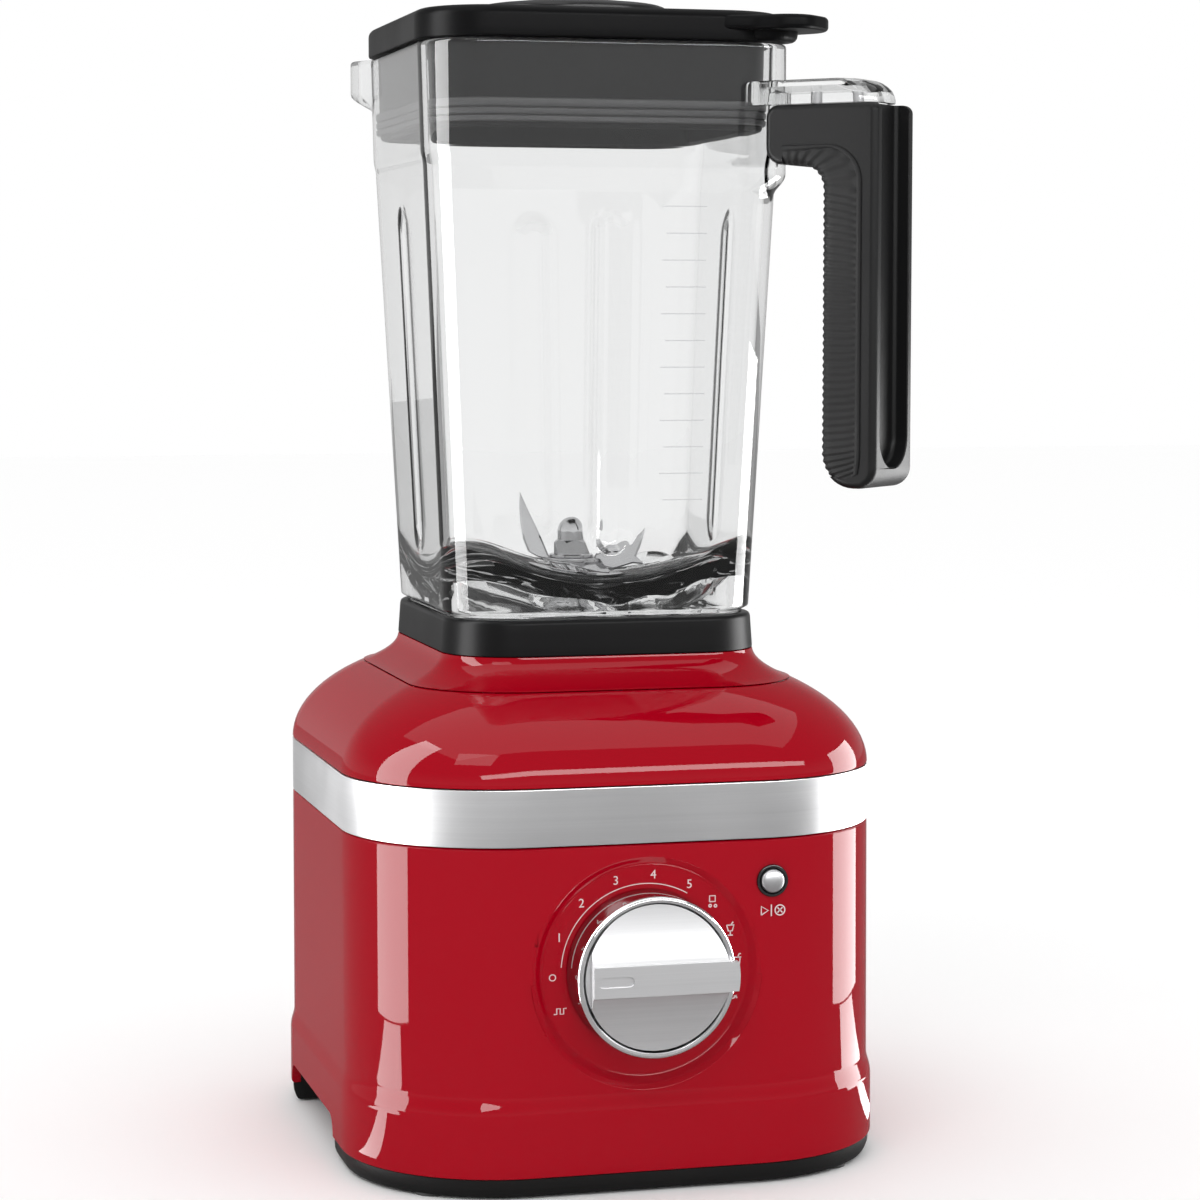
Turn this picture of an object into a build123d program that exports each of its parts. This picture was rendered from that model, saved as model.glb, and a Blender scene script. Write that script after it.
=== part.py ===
from build123d import *
import os
from math import atan, cos, degrees, pi, radians, sin, sqrt

# Countertop blender: die-cast base with motor, clear jar with side handle, lid and fill cap.
# Millimetres. +Z is up, the dial faces -Y, +X is to the right of a person who faces the dial.
# The origin is where the drive axis meets the table. The jar's handle points to +X -Y.

# ---------------------------------------------------------------- clearances
RUN_FIT = 0.03        # radial, shaft in its bearing or switch
BODY_GAP = 0.5        # between pieces that part from each other
SLIDE_GAP = 0.35      # button in its bezel, cap in the lid
SCREW_FIT = 0.05      # radial, screw in its hole
PART_GAP = 0.1        # between pieces fixed side by side

# ---------------------------------------------------------------- case outline (half sizes)
CASE_HALF_X, CASE_HALF_Y, CASE_R = 96.2, 105.5, 56.0
CASE_DRAFT_Y = 1.4    # the case is this much deeper at its lower edge
WALL = 3.0

# ---------------------------------------------------------------- heights, from the table up
PAD_H = 2.5
FOOT_H = 7.4
SKIRT_H = 21.8
STEP_RISE, STEP_OUT = 6.3, 1.2
HOUSING_H = 112.6     # red lower case, from the foot rail to the band
BAND_H = 20.0
DOME_H = 29.5
NECK_H = 10.7
COLLAR_H = 12.6
SEAT_DEPTH = 6.3      # how far the jar's foot sits inside the collar

housing_z0 = FOOT_H
housing_z1 = housing_z0 + HOUSING_H
band_z1 = housing_z1 + BAND_H
dome_z1 = band_z1 + DOME_H
neck_z1 = dome_z1 + NECK_H
collar_z1 = neck_z1 + COLLAR_H
seat_z = collar_z1 - SEAT_DEPTH

# ---------------------------------------------------------------- dome, neck and collar
NECK_HALF_X, NECK_HALF_Y, NECK_R = 69.4, 78.2, 38.0      # where the neck meets the dome
COLLAR_HALF_X, COLLAR_HALF_Y, COLLAR_R = 56.9, 63.0, 26.0
COLLAR_LEAN = 0.9     # the collar narrows by this much towards its top
BAND_T = 1.5
CEILING_DROP = 6.0    # dome's inner ceiling below the neck joint
COUPLER_HOLE_R = 34.0
SEAT_HOLE_R = 27.0

# ---------------------------------------------------------------- dial and start button
DIAL_Z = 76.5
DIAL_R, DIAL_FLOOR_R, DIAL_DEPTH = 40.0, 36.0, 2.6
KNOB_R, KNOB_PROUD = 27.75, 13.5
KNOB_RING_T, KNOB_FACE_GAP = 2.2, 0.6
KNOB_BAR_W, KNOB_BAR_PROUD = 10.5, 5.0
KNOB_SHAFT_R = 3.0
BUTTON_X, BUTTON_Z = 44.5, 105.5
BUTTON_R, BUTTON_TRAVEL, BEZEL_R = 4.1, 2.0, 5.6

# ---------------------------------------------------------------- underside
ARCH_Y0, ARCH_Y1, ARCH_RISE = -34.0, 54.0, 8.0
RAIL_W = 11.0
COVER_Z, COVER_T = 16.0, 3.0
SPOOL_R, SPOOL_WALL, SPOOL_Z, SPOOL_LIP = 46.0, 2.5, 1.5, 5.0
GLAND_X, GLAND_Y, GLAND_R, GLAND_BORE_R = 0.0, 66.0, 7.0, 3.6
PAD_R, PAD_ANGLE, PAD_INSET = 6.5, 50.0, 2.6

# ---------------------------------------------------------------- motor
SHAFT_R = 6.0
STACK_HALF_X, STACK_HALF_Y, STACK_H, STACK_R = 43.0, 41.0, 40.0, 12.0
AIR_GAP = 0.7
ARMATURE_R = 22.8
COIL_T, OVERHANG = 6.0, 6.5
COMMUTATOR_R = 11.0
FAN_R, FAN_H = 40.0, 13.0
BRUSH_GAP = 0.4
UPPER_BEARING_R, UPPER_BEARING_H = 16.0, 10.0
LOWER_BEARING_R, LOWER_BEARING_H, LOWER_SHAFT_R = 11.0, 7.0, 4.0
MOUNT_X, MOUNT_Y, MOUNT_H = 44.0, 44.0, 4.0
TIE_X, TIE_Y = 35.0, 33.0
SCREW_R, SCREW_HEAD_R, SCREW_HEAD_H = 2.0, 4.0, 3.0

# ---------------------------------------------------------------- jar
JAR_H = 206.0
JAR_WALL = 3.2
JAR_FOOT_HALF, JAR_FOOT_R = 53.0, 18.0
JAR_LOW_HALF, JAR_LOW_R = 55.9, 20.0
JAR_RIM_HALF, JAR_RIM_R = 65.3, 24.0
SHOULDER_H = 163.0    # from the jar's foot to where the wall steps out
SHOULDER_HALF, SHOULDER_R, SHOULDER_OUT, SHOULDER_RISE = 63.5, 21.5, 0.9, 6.0
BOWL_R, BOWL_RISE = 102.5, 3.6
FLOOR_T = 4.6
RIB_W, RIB_DEPTH, RIB_TOP, RIB_FOOT = 17.0, 5.0, 151.0, 27.0
SPOUT_R, SPOUT_OUT, SPOUT_H, SPOUT_DROP = 13.0, 11.5, 17.0, 1.0
HANDLE_ANGLE = -45.0

# ---------------------------------------------------------------- handle (distances from the axis)
GRIP_OUTER, GRIP_INNER, GRIP_W = 130.0, 109.0, 31.0
ARM_ROOT, ARM_T, ARM_BELOW_RIM = 87.0, 20.5, 22.0
GRIP_L = 132.0
INSERT_OUTER, INSERT_T, INSERT_START, INSERT_ARM_T = 124.5, 2.6, 94.0, 6.5
BRACKET_H, BRACKET_END, BRACKET_W = 8.7, 127.5, 24.6
CHANNEL_R, CHANNEL_OUT = 13.0, 73.0
GROOVE_W, GROOVE_DEPTH = 20.5, 4.5

# ---------------------------------------------------------------- lid and cap
LID_RIM_HALF, LID_RIM_R, LID_RIM_H = 66.3, 26.0, 10.7
LID_PLUG_DEPTH, LID_WALL, LID_TOP_T = 30.0, 3.0, 4.0
GASKET_DROP, GASKET_H, GASKET_T = 20.0, 8.0, 1.4
TAB_REACH, TAB_W, TAB_T = 101.0, 30.0, 5.0
CAP_R, CAP_H, CAP_PLUG_R, CAP_PLUG_DEPTH, CAP_WALL = 35.0, 4.5, 27.0, 24.0, 2.5
CAP_DOME = 3.0

# ---------------------------------------------------------------- drive and blades
COUPLER_R, COUPLER_H, COUPLER_ENGAGE, COUPLER_LOBES = 19.0, 17.0, 8.5, 6
LOBE_R, LOBE_ORBIT = 3.4, 9.5
HUB_R, HUB_BORE_R, HUB_FLANGE_R, HUB_FLANGE_T = 13.8, 11.0, 20.0, 3.0
HUB_NECK_R, HUB_RISE = 9.5, 12.7
JAR_NUT_R, JAR_NUT_H = 22.0, 7.0
JAR_GASKET_T = 1.0
BLADE_SHAFT_R = 4.0
BLADE_HUB_R, BLADE_T = 11.0, 1.6
WASHER_R, WASHER_T = 8.3, 1.3
NUT_ACROSS, NUT_HEX_H, NUT_H = 11.6, 5.0, 13.4


# ================================================================ helpers
def outline(half_x, half_y, radius, z):
    """Rounded rectangle, centred on the drive axis, at height z."""
    return Plane.XY.offset(z) * RectangleRounded(2 * half_x, 2 * half_y, radius)


def prism(half_x, half_y, radius, z0, z1):
    return extrude(outline(half_x, half_y, radius, z0), z1 - z0)


def lofted(sections):
    """Straight-sided stack of rounded rectangles, each (half_x, half_y, radius, z)."""
    return loft([outline(*s) for s in sections], ruled=True)


def blended(sections):
    """Smoothly curved stack of rounded rectangles, each (half_x, half_y, radius, z)."""
    return loft([outline(*s) for s in sections])


def rod(radius, z0, z1, x=0.0, y=0.0):
    return Pos(x, y, z0) * Cylinder(radius, z1 - z0, align=(Align.CENTER, Align.CENTER, Align.MIN))


def tube(outer, inner, z0, z1, x=0.0, y=0.0):
    return rod(outer, z0, z1, x, y) - rod(inner, z0 - 1, z1 + 1, x, y)


def plug_y(radius, y0, y1, x=0.0, z=0.0):
    """Cylinder along Y between y0 and y1."""
    return Pos(x, (y0 + y1) / 2, z) * Rot(90, 0, 0) * Cylinder(radius, abs(y1 - y0))


def slab(x0, x1, y0, y1, z0, z1):
    return Pos((x0 + x1) / 2, (y0 + y1) / 2, (z0 + z1) / 2) * Box(x1 - x0, y1 - y0, z1 - z0)


def corners(x, y):
    return [(sx * x, sy * y) for sx in (-1, 1) for sy in (-1, 1)]


def group(shapes):
    return Compound(children=list(shapes))


def screw(x, y, head_z, tip_z):
    """Pan-head screw: the head lies below head_z and the shank runs up to tip_z."""
    head = rod(SCREW_HEAD_R, head_z - SCREW_HEAD_H, head_z, x, y)
    drive = Pos(x, y, head_z - SCREW_HEAD_H) * extrude(RegularPolygon(1.6, 6), 1.4)
    return head + rod(SCREW_R, head_z, tip_z, x, y) - drive


def screw_hole(x, y, z0, z1):
    return rod(SCREW_R + SCREW_FIT, z0, z1, x, y)


def on_handle(shape):
    """Turns a shape drawn along +X into the handle's plane."""
    return Rot(0, 0, HANDLE_ANGLE) * shape


def side_profile(points, rounds, width):
    """Solid of the given width from an outline in the X-Z plane; rounds gives a radius per corner."""
    face = make_face(Polyline(*points, close=True))
    for (x, z), radius in rounds:
        corner = face.vertices().sort_by_distance((x, z, 0))[0]
        face = fillet(corner, radius)
    return extrude(Plane.XZ * face, width / 2, both=True)


# ================================================================ case
case_low_y = CASE_HALF_Y + CASE_DRAFT_Y
step_z0 = housing_z0 + SKIRT_H
step_z1 = step_z0 + STEP_RISE
BOSS_R, BOSS_IN = 6.5, 5.0
boss_reach = CASE_R - STEP_OUT - WALL - BOSS_IN
boss_x = CASE_HALF_X - CASE_R + boss_reach * cos(pi / 4)
boss_y = CASE_HALF_Y - CASE_R + boss_reach * sin(pi / 4)


def case_section(z, inset=0.0):
    share = (housing_z1 - z) / HOUSING_H
    half_y = CASE_HALF_Y + CASE_DRAFT_Y * share
    grow = STEP_OUT if z <= step_z0 + 0.01 else 0.0
    return (CASE_HALF_X - STEP_OUT + grow - inset, half_y - STEP_OUT + grow - inset, CASE_R - inset, z)


def case_body(inset, z0, z1):
    return lofted([case_section(z, inset) for z in (z0, step_z0, step_z1, z1)])


def front_y(z):
    """Depth of the flat front of the case at height z, above the step."""
    return -case_section(z)[1]


dial_front = front_y(DIAL_Z)
dial_floor = dial_front + DIAL_DEPTH


def motor_housing():
    """Lower case: hollow, with a dished dial recess, side arches and bosses for the screws."""
    shell = case_body(0, housing_z0, housing_z1) - case_body(WALL, housing_z0 - 1, housing_z1 + 1)
    backing = plug_y(DIAL_R + 3, dial_front + 0.5, dial_floor + WALL, z=DIAL_Z)
    shell += backing & case_body(0.5, housing_z0, housing_z1)
    dish = Pos(0, dial_front, DIAL_Z) * Rot(90, 0, 0) * Cone(DIAL_FLOOR_R, DIAL_R, DIAL_DEPTH)
    shell -= Pos(0, DIAL_DEPTH / 2, 0) * dish
    shell -= plug_y(DIAL_R, dial_front - 6, dial_front, z=DIAL_Z)
    shell -= plug_y(KNOB_SHAFT_R + 1.5, dial_front - 1, dial_floor + 9, z=DIAL_Z)
    shell -= plug_y(BEZEL_R - 0.5, front_y(BUTTON_Z) - 2, front_y(BUTTON_Z) + 9, BUTTON_X, BUTTON_Z)
    arch = slab(-2 * CASE_HALF_X, 2 * CASE_HALF_X, ARCH_Y0, ARCH_Y1, housing_z0 - 5, housing_z0 + ARCH_RISE)
    arch = fillet(arch.edges().filter_by(Axis.X).group_by(Axis.Z)[-1], ARCH_RISE * 0.8)
    shell -= arch
    for x, y in corners(boss_x, boss_y):
        low = rod(BOSS_R, COVER_Z + COVER_T, COVER_Z + 30, x, y)
        top = rod(BOSS_R, housing_z1 - 20, housing_z1, x, y)
        shell += (low + top) & case_body(0.5, housing_z0, housing_z1)
        shell -= screw_hole(x, y, COVER_Z, COVER_Z + 22)
        shell -= screw_hole(x, y, housing_z1 - 21, housing_z1 + 1)
    return shell


def trim_band():
    """Metal band between the lower case and the dome."""
    half_y = CASE_HALF_Y - STEP_OUT
    half_x = CASE_HALF_X - STEP_OUT
    outer = prism(half_x, half_y, CASE_R, housing_z1, band_z1)
    inner = prism(half_x - BAND_T, half_y - BAND_T, CASE_R - BAND_T, housing_z1 - 1, band_z1 + 1)
    return outer - inner


def dome_sections(inset):
    """Quarter-ellipse shoulder from the band up to the neck joint."""
    top_x, top_y = CASE_HALF_X - STEP_OUT, CASE_HALF_Y - STEP_OUT
    rows = []
    for share in (0.0, 0.25, 0.5, 0.7, 0.86, 1.0):
        drop = (1 - sqrt(1 - (0.737 * share) ** 2)) / (1 - sqrt(1 - 0.737 ** 2))
        rows.append((
            top_x - (top_x - NECK_HALF_X) * drop - inset,
            top_y - (top_y - NECK_HALF_Y) * drop - inset,
            CASE_R - (CASE_R - NECK_R) * drop - inset,
            band_z1 + DOME_H * share,
        ))
    return rows


ceiling_z = dome_z1 - CEILING_DROP
hang_z = ceiling_z - WALL - 6.0
NECK_SCREW_X, NECK_SCREW_Y = 44.0, 56.5


def top_housing():
    """Dome with a spigot inside the band, a ceiling plate and bosses for the motor and the neck."""
    outer = blended(dome_sections(0))
    inner = blended(dome_sections(WALL))
    slot = BAND_T + PART_GAP
    spigot = prism(CASE_HALF_X - STEP_OUT - slot, CASE_HALF_Y - STEP_OUT - slot, CASE_R - slot,
                   housing_z1, band_z1)
    spigot -= prism(CASE_HALF_X - STEP_OUT - slot - WALL, CASE_HALF_Y - STEP_OUT - slot - WALL,
                    CASE_R - slot - WALL, housing_z1 - 1, band_z1 + 1)
    rim = prism(CASE_HALF_X - STEP_OUT - WALL + 0.5, CASE_HALF_Y - STEP_OUT - WALL + 0.5,
                CASE_R - WALL + 0.5, band_z1, band_z1 + 2)
    rim -= prism(CASE_HALF_X - STEP_OUT - slot - WALL, CASE_HALF_Y - STEP_OUT - slot - WALL,
                 CASE_R - slot - WALL, band_z1 - 1, band_z1 + 3)
    ceiling = slab(-CASE_HALF_X, CASE_HALF_X, -CASE_HALF_Y, CASE_HALF_Y, ceiling_z - WALL, ceiling_z)
    ceiling &= blended(dome_sections(0.5))
    shape = (outer - inner) + spigot + rim + ceiling
    for x, y in corners(MOUNT_X, MOUNT_Y):
        shape += rod(BOSS_R, hang_z, ceiling_z - 1, x, y)
    for x, y in corners(boss_x, boss_y):
        column = rod(BOSS_R, housing_z1, dome_z1, x, y)
        shape += column & (prism(CASE_HALF_X - STEP_OUT - slot, CASE_HALF_Y - STEP_OUT - slot,
                                 CASE_R - slot, housing_z1, band_z1 + 0.5) + blended(dome_sections(0.5)))
    shape -= rod(COUPLER_HOLE_R, hang_z, dome_z1)
    for x, y in corners(MOUNT_X, MOUNT_Y):
        shape -= screw_hole(x, y, hang_z - 1, ceiling_z - 1.5)
    for x, y in corners(boss_x, boss_y):
        shape -= screw_hole(x, y, housing_z1 - 1, housing_z1 + 16)
    for x, y in corners(NECK_SCREW_X, NECK_SCREW_Y):
        shape -= screw_hole(x, y, ceiling_z - WALL - 1, ceiling_z + 1)
    return shape


def neck_sections(inset):
    rows = []
    for share in (0.0, 0.3, 0.6, 1.0):
        flare = 1 - (1 - share) ** 2
        rows.append((
            NECK_HALF_X - (NECK_HALF_X - COLLAR_HALF_X) * flare - inset,
            NECK_HALF_Y - (NECK_HALF_Y - COLLAR_HALF_Y) * flare - inset,
            NECK_R - (NECK_R - COLLAR_R) * flare - inset,
            dome_z1 + NECK_H * share,
        ))
    return rows


SEAT_SCREW_X, SEAT_SCREW_Y = 38.0, 42.0


def neck_cover():
    """Flared neck between the dome and the collar, with a top plate that carries the seat."""
    shell = blended(neck_sections(0)) - blended(neck_sections(WALL))
    plate = prism(COLLAR_HALF_X - 1, COLLAR_HALF_Y - 1, COLLAR_R - 1, neck_z1 - WALL, neck_z1)
    shell += plate
    for x, y in corners(NECK_SCREW_X, NECK_SCREW_Y):
        shell += rod(BOSS_R - 1, ceiling_z, neck_z1 - 1, x, y) & prism(
            NECK_HALF_X - WALL, NECK_HALF_Y - WALL, NECK_R - WALL, ceiling_z, neck_z1 - 1)
    inside = blended(neck_sections(0)) + prism(NECK_HALF_X, NECK_HALF_Y, NECK_R, ceiling_z, dome_z1)
    shell &= inside
    shell -= rod(COUPLER_HOLE_R - 4, ceiling_z, neck_z1 + 1)
    for x, y in corners(NECK_SCREW_X, NECK_SCREW_Y):
        shell -= screw_hole(x, y, ceiling_z - 1, neck_z1 - 4)
    for x, y in corners(SEAT_SCREW_X, SEAT_SCREW_Y):
        shell -= screw_hole(x, y, neck_z1 - WALL - 1, neck_z1 + 1)
    return shell


def jar_seat():
    """Black collar with a pocket for the jar's foot and a hole for the coupling."""
    body = lofted([
        (COLLAR_HALF_X, COLLAR_HALF_Y, COLLAR_R, neck_z1),
        (COLLAR_HALF_X - COLLAR_LEAN, COLLAR_HALF_Y - COLLAR_LEAN, COLLAR_R - COLLAR_LEAN, collar_z1),
    ])
    body = fillet(body.edges().group_by(Axis.Z)[-1], 0.8)
    pocket = JAR_FOOT_HALF + BODY_GAP
    body -= prism(pocket, pocket, JAR_FOOT_R + BODY_GAP, seat_z, collar_z1 + 1)
    body -= rod(SEAT_HOLE_R, neck_z1 - 1, collar_z1)
    for x, y in corners(SEAT_SCREW_X, SEAT_SCREW_Y):
        body -= screw_hole(x, y, neck_z1 - 1, seat_z - 1.5)
    return body


# ================================================================ underside
def rail(y_low, y_high):
    """Part of the black foot rail below the case, between two Y values."""
    low = case_section(housing_z0)
    inner_x, inner_y = low[0] - RAIL_W, low[1] - RAIL_W
    outer = lofted([
        (low[0] - 2.2, low[1] - 4.0, CASE_R - 1.0, PAD_H - 1.7),
        (low[0] - 0.6, low[1] - 1.2, CASE_R - 0.4, housing_z0 * 0.6),
        (low[0] - 0.3, low[1] - 0.6, CASE_R - 0.2, housing_z0),
    ])
    ring = outer - prism(inner_x, inner_y, CASE_R - RAIL_W, -1, housing_z0 + 1)
    lip_out, lip_in = WALL + 2 * PART_GAP, RAIL_W
    lip = prism(low[0] - lip_out, low[1] - lip_out, CASE_R - lip_out, housing_z0 - 1, COVER_Z)
    lip -= prism(low[0] - lip_in, low[1] - lip_in, CASE_R - lip_in, housing_z0 - 2, COVER_Z + 1)
    ring += lip
    for x, y in corners(boss_x, boss_y):
        ring -= rod(SCREW_HEAD_R + 1, COVER_Z - SCREW_HEAD_H - 0.5, COVER_Z + 1, x, y)
    big = 2 * (CASE_HALF_X + CASE_HALF_Y)
    return ring & slab(-big, big, y_low, y_high, -1, COVER_Z)


pad_reach = CASE_R - RAIL_W / 2 - PAD_INSET
pad_x = CASE_HALF_X - CASE_R + pad_reach * cos(radians(PAD_ANGLE))
pad_y = CASE_HALF_Y - CASE_R + pad_reach * sin(radians(PAD_ANGLE))


def pad_pockets():
    pads = [rod(PAD_R + PART_GAP, -1, PAD_H, x, y) for x, y in corners(pad_x, pad_y)]
    return pads[0] + pads[1] + pads[2] + pads[3]


def base_feet():
    front = rail(-2 * CASE_HALF_Y, ARCH_Y0) - pad_pockets()
    rear = rail(ARCH_Y1, 2 * CASE_HALF_Y) - pad_pockets()
    return group([front, rear])


def rubber_pads():
    return group([rod(PAD_R, 0, PAD_H, x, y) for x, y in corners(pad_x, pad_y)])


def bottom_cover():
    """Floor of the case with a spool under it for the stored cord, and vents inside the spool."""
    low = case_section(housing_z0)
    inset = WALL + PART_GAP
    plate = prism(low[0] - STEP_OUT - inset, low[1] - STEP_OUT - inset, CASE_R - inset,
                  COVER_Z, COVER_Z + COVER_T)
    spool = tube(SPOOL_R, SPOOL_R - SPOOL_WALL, SPOOL_Z, COVER_Z + 1)
    disc = rod(SPOOL_R + SPOOL_LIP, SPOOL_Z, SPOOL_Z + SPOOL_WALL)
    body = plate + spool + disc
    for turn in range(12):
        cut = Rot(0, 0, turn * 30) * slab(14, SPOOL_R - 8, -2.5, 2.5, SPOOL_Z - 1, COVER_Z + COVER_T + 1)
        body -= cut
    for x, y in corners(boss_x, boss_y):
        body -= screw_hole(x, y, COVER_Z - 1, COVER_Z + COVER_T + 1)
    body -= rod(GLAND_R + PART_GAP, COVER_Z - 1, COVER_Z + COVER_T + 1, GLAND_X, GLAND_Y)
    return body


def cord_inlet():
    """Grommet where the supply lead would enter the case."""
    body = rod(GLAND_R, COVER_Z - 6, COVER_Z + COVER_T + 3, GLAND_X, GLAND_Y)
    body += rod(GLAND_R + 2, COVER_Z - 1.6, COVER_Z, GLAND_X, GLAND_Y)
    return body - rod(GLAND_BORE_R, COVER_Z - 7, COVER_Z + COVER_T + 4, GLAND_X, GLAND_Y)


def cover_screws():
    return group([screw(x, y, COVER_Z, COVER_Z + 20) for x, y in corners(boss_x, boss_y)])


def case_screws():
    return group([screw(x, y, housing_z1 - 20, housing_z1 + 14) for x, y in corners(boss_x, boss_y)])


def neck_screws():
    z = ceiling_z - WALL
    return group([screw(x, y, z, neck_z1 - 5) for x, y in corners(NECK_SCREW_X, NECK_SCREW_Y)])


def seat_screws():
    z = neck_z1 - WALL
    return group([screw(x, y, z, seat_z - 2) for x, y in corners(SEAT_SCREW_X, SEAT_SCREW_Y)])


# ================================================================ motor, hung from the dome
frame_z1 = hang_z - MOUNT_H             # top face of the upper frame plate
frame_z0 = frame_z1 - 4.0
stack_z1 = frame_z0 - 22.5
stack_z0 = stack_z1 - STACK_H
lower_z1 = stack_z0 - 9.0
lower_z0 = lower_z1 - 4.0
fan_z1 = lower_z0 - 8.0
fan_z0 = fan_z1 - FAN_H
shaft_z0 = fan_z0 - 4.0
coupler_z1 = seat_z - 9.0
coupler_z0 = coupler_z1 - COUPLER_H
upper_bearing_z1 = coupler_z0 - 2.5
upper_bearing_z0 = upper_bearing_z1 - UPPER_BEARING_H
lower_bearing_z1 = lower_z1 - 1.0
lower_bearing_z0 = lower_bearing_z1 - LOWER_BEARING_H
stack_bore_r = ARMATURE_R + AIR_GAP
coil_r0 = stack_bore_r + 1.5
coil_r1 = coil_r0 + COIL_T


def motor_mounts():
    return group([tube(BOSS_R, SCREW_R + SCREW_FIT, frame_z1, hang_z, x, y)
                  for x, y in corners(MOUNT_X, MOUNT_Y)])


def motor_screws():
    return group([screw(x, y, frame_z0, ceiling_z - 3) for x, y in corners(MOUNT_X, MOUNT_Y)])


def upper_frame():
    """Upper motor bracket: plate, bearing cup and four legs down to the stack."""
    plate = prism(MOUNT_X + 8, MOUNT_Y + 8, 8, frame_z0, frame_z1)
    cup = rod(UPPER_BEARING_R + 3, frame_z0, upper_bearing_z1)
    body = plate + cup
    for x, y in corners(TIE_X, TIE_Y):
        body += rod(5.0, stack_z1, frame_z0 + 1, x, y)
    body -= rod(UPPER_BEARING_R, upper_bearing_z0, upper_bearing_z1 + 1)
    body -= rod(SHAFT_R + 2, frame_z0 - 5, upper_bearing_z1)
    for x, y in corners(MOUNT_X, MOUNT_Y):
        body -= screw_hole(x, y, frame_z0 - 1, frame_z1 + 1)
    for x, y in corners(TIE_X, TIE_Y):
        body -= screw_hole(x, y, stack_z1 - 1, frame_z1 - 1)
    for side in (-1, 1):
        vent = slab(-14, 14, 24, 46, frame_z0 - 1, frame_z1 + 1)
        body -= Rot(0, 0, 90 * side) * vent
    return body


def lower_frame():
    """Lower motor bracket with four legs up to the stack."""
    plate = prism(TIE_X + 6, TIE_Y + 6, 8, lower_z0, lower_z1)
    cup = rod(LOWER_BEARING_R + 3, lower_bearing_z0 - 1.5, lower_z1)
    body = plate + cup
    for x, y in corners(TIE_X, TIE_Y):
        body += rod(5.0, lower_z1 - 1, stack_z0, x, y)
    body -= rod(LOWER_BEARING_R, lower_bearing_z0, lower_z1 + 1)
    body -= rod(LOWER_SHAFT_R + 2, lower_bearing_z0 - 3, lower_z1)
    for x, y in corners(TIE_X, TIE_Y):
        body -= screw_hole(x, y, lower_z0 - 1, stack_z0 + 1)
    for side in (-1, 1):
        body -= Rot(0, 0, 90 * side) * slab(-12, 12, 18, 27, lower_z0 - 1, lower_z1 + 1)
    return body


def tie_screws():
    return group([screw(x, y, lower_z0, frame_z1 - 2) for x, y in corners(TIE_X, TIE_Y)])


def coil_zone(z0, z1, half_angle):
    """Both halves of a ring between the coil radii, each half_angle either side of +Y and -Y."""
    ring = tube(coil_r1, coil_r0, z0, z1)
    reach = 4 * coil_r1
    keep = None
    for side in (0, 180):
        for start in (half_angle, 90 - half_angle):
            wedge = Rot(0, 0, side + start) * slab(0, reach, 0, reach, z0, z1)
            keep = wedge if keep is None else keep + wedge
    return ring & keep


def stator_windings():
    """Two saddle coils: arcs above and below the stack, joined by bars in its slots."""
    full = coil_zone(stack_z0 - OVERHANG, stack_z1 + OVERHANG, 25)
    window = coil_zone(stack_z0 - 0.8, stack_z1 + 0.8, 42)
    return group((full - window).solids())


def motor_stator():
    """Laminated stack with a bore and slots for the coils' bars."""
    body = prism(STACK_HALF_X, STACK_HALF_Y, STACK_R, stack_z0, stack_z1)
    body -= rod(stack_bore_r, stack_z0 - 1, stack_z1 + 1)
    slots = tube(coil_r1 + 0.6, stack_bore_r - 1, stack_z0 - 1, stack_z1 + 1)
    bars = None
    for side in (0, 180):
        for low, high in ((23.0, 44.0), (136.0, 157.0)):
            a = Rot(0, 0, side + low) * slab(0, 90, 0, 90, stack_z0 - 1, stack_z1 + 1)
            b = Rot(0, 0, side + high - 90) * slab(0, 90, 0, 90, stack_z0 - 1, stack_z1 + 1)
            part = a & b
            bars = part if bars is None else bars + part
    body -= slots & bars
    for x, y in corners(TIE_X, TIE_Y):
        body -= screw_hole(x, y, stack_z0 - 1, stack_z1 + 1)
    return body


def motor_shaft():
    body = rod(LOWER_SHAFT_R - RUN_FIT, shaft_z0, lower_z1 + 1)
    body += rod(SHAFT_R - RUN_FIT, lower_z1 + 1, coupler_z1 - COUPLER_ENGAGE - 1.5)
    return body


SLOTS = 12


def armature():
    """Laminated core with open slots."""
    body = rod(ARMATURE_R, stack_z0, stack_z1) - rod(SHAFT_R, stack_z0 - 1, stack_z1 + 1)
    for i in range(SLOTS):
        body -= Rot(0, 0, i * 360 / SLOTS) * slab(14.5, ARMATURE_R + 1, -2, 2, stack_z0 - 1, stack_z1 + 1)
    return body


def armature_windings():
    """Copper in the core's slots with a ring of end turns above and below."""
    body = tube(ARMATURE_R - 2, SHAFT_R + 1, stack_z1, stack_z1 + OVERHANG)
    body += tube(ARMATURE_R - 2, SHAFT_R + 1, stack_z0 - OVERHANG, stack_z0)
    for i in range(SLOTS):
        body += Rot(0, 0, i * 360 / SLOTS) * slab(15, ARMATURE_R - 2.2, -1.8, 1.8, stack_z0 - 1, stack_z1 + 1)
    return body


brush_z = frame_z0 - 8.0


def commutator():
    z0, z1 = stack_z1 + OVERHANG + 0.5, frame_z0 - 1.5
    body = tube(COMMUTATOR_R, SHAFT_R, z0, z1)
    for i in range(24):
        body -= Rot(0, 0, i * 15) * slab(COMMUTATOR_R - 0.8, COMMUTATOR_R + 1, -0.25, 0.25, z0 - 1, z1 + 1)
    return body


def carbon_brushes():
    near = COMMUTATOR_R + BRUSH_GAP
    return group([Rot(0, 0, a) * slab(near, near + 16, -3, 3, brush_z - 4, brush_z + 4) for a in (90, -90)])


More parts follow.
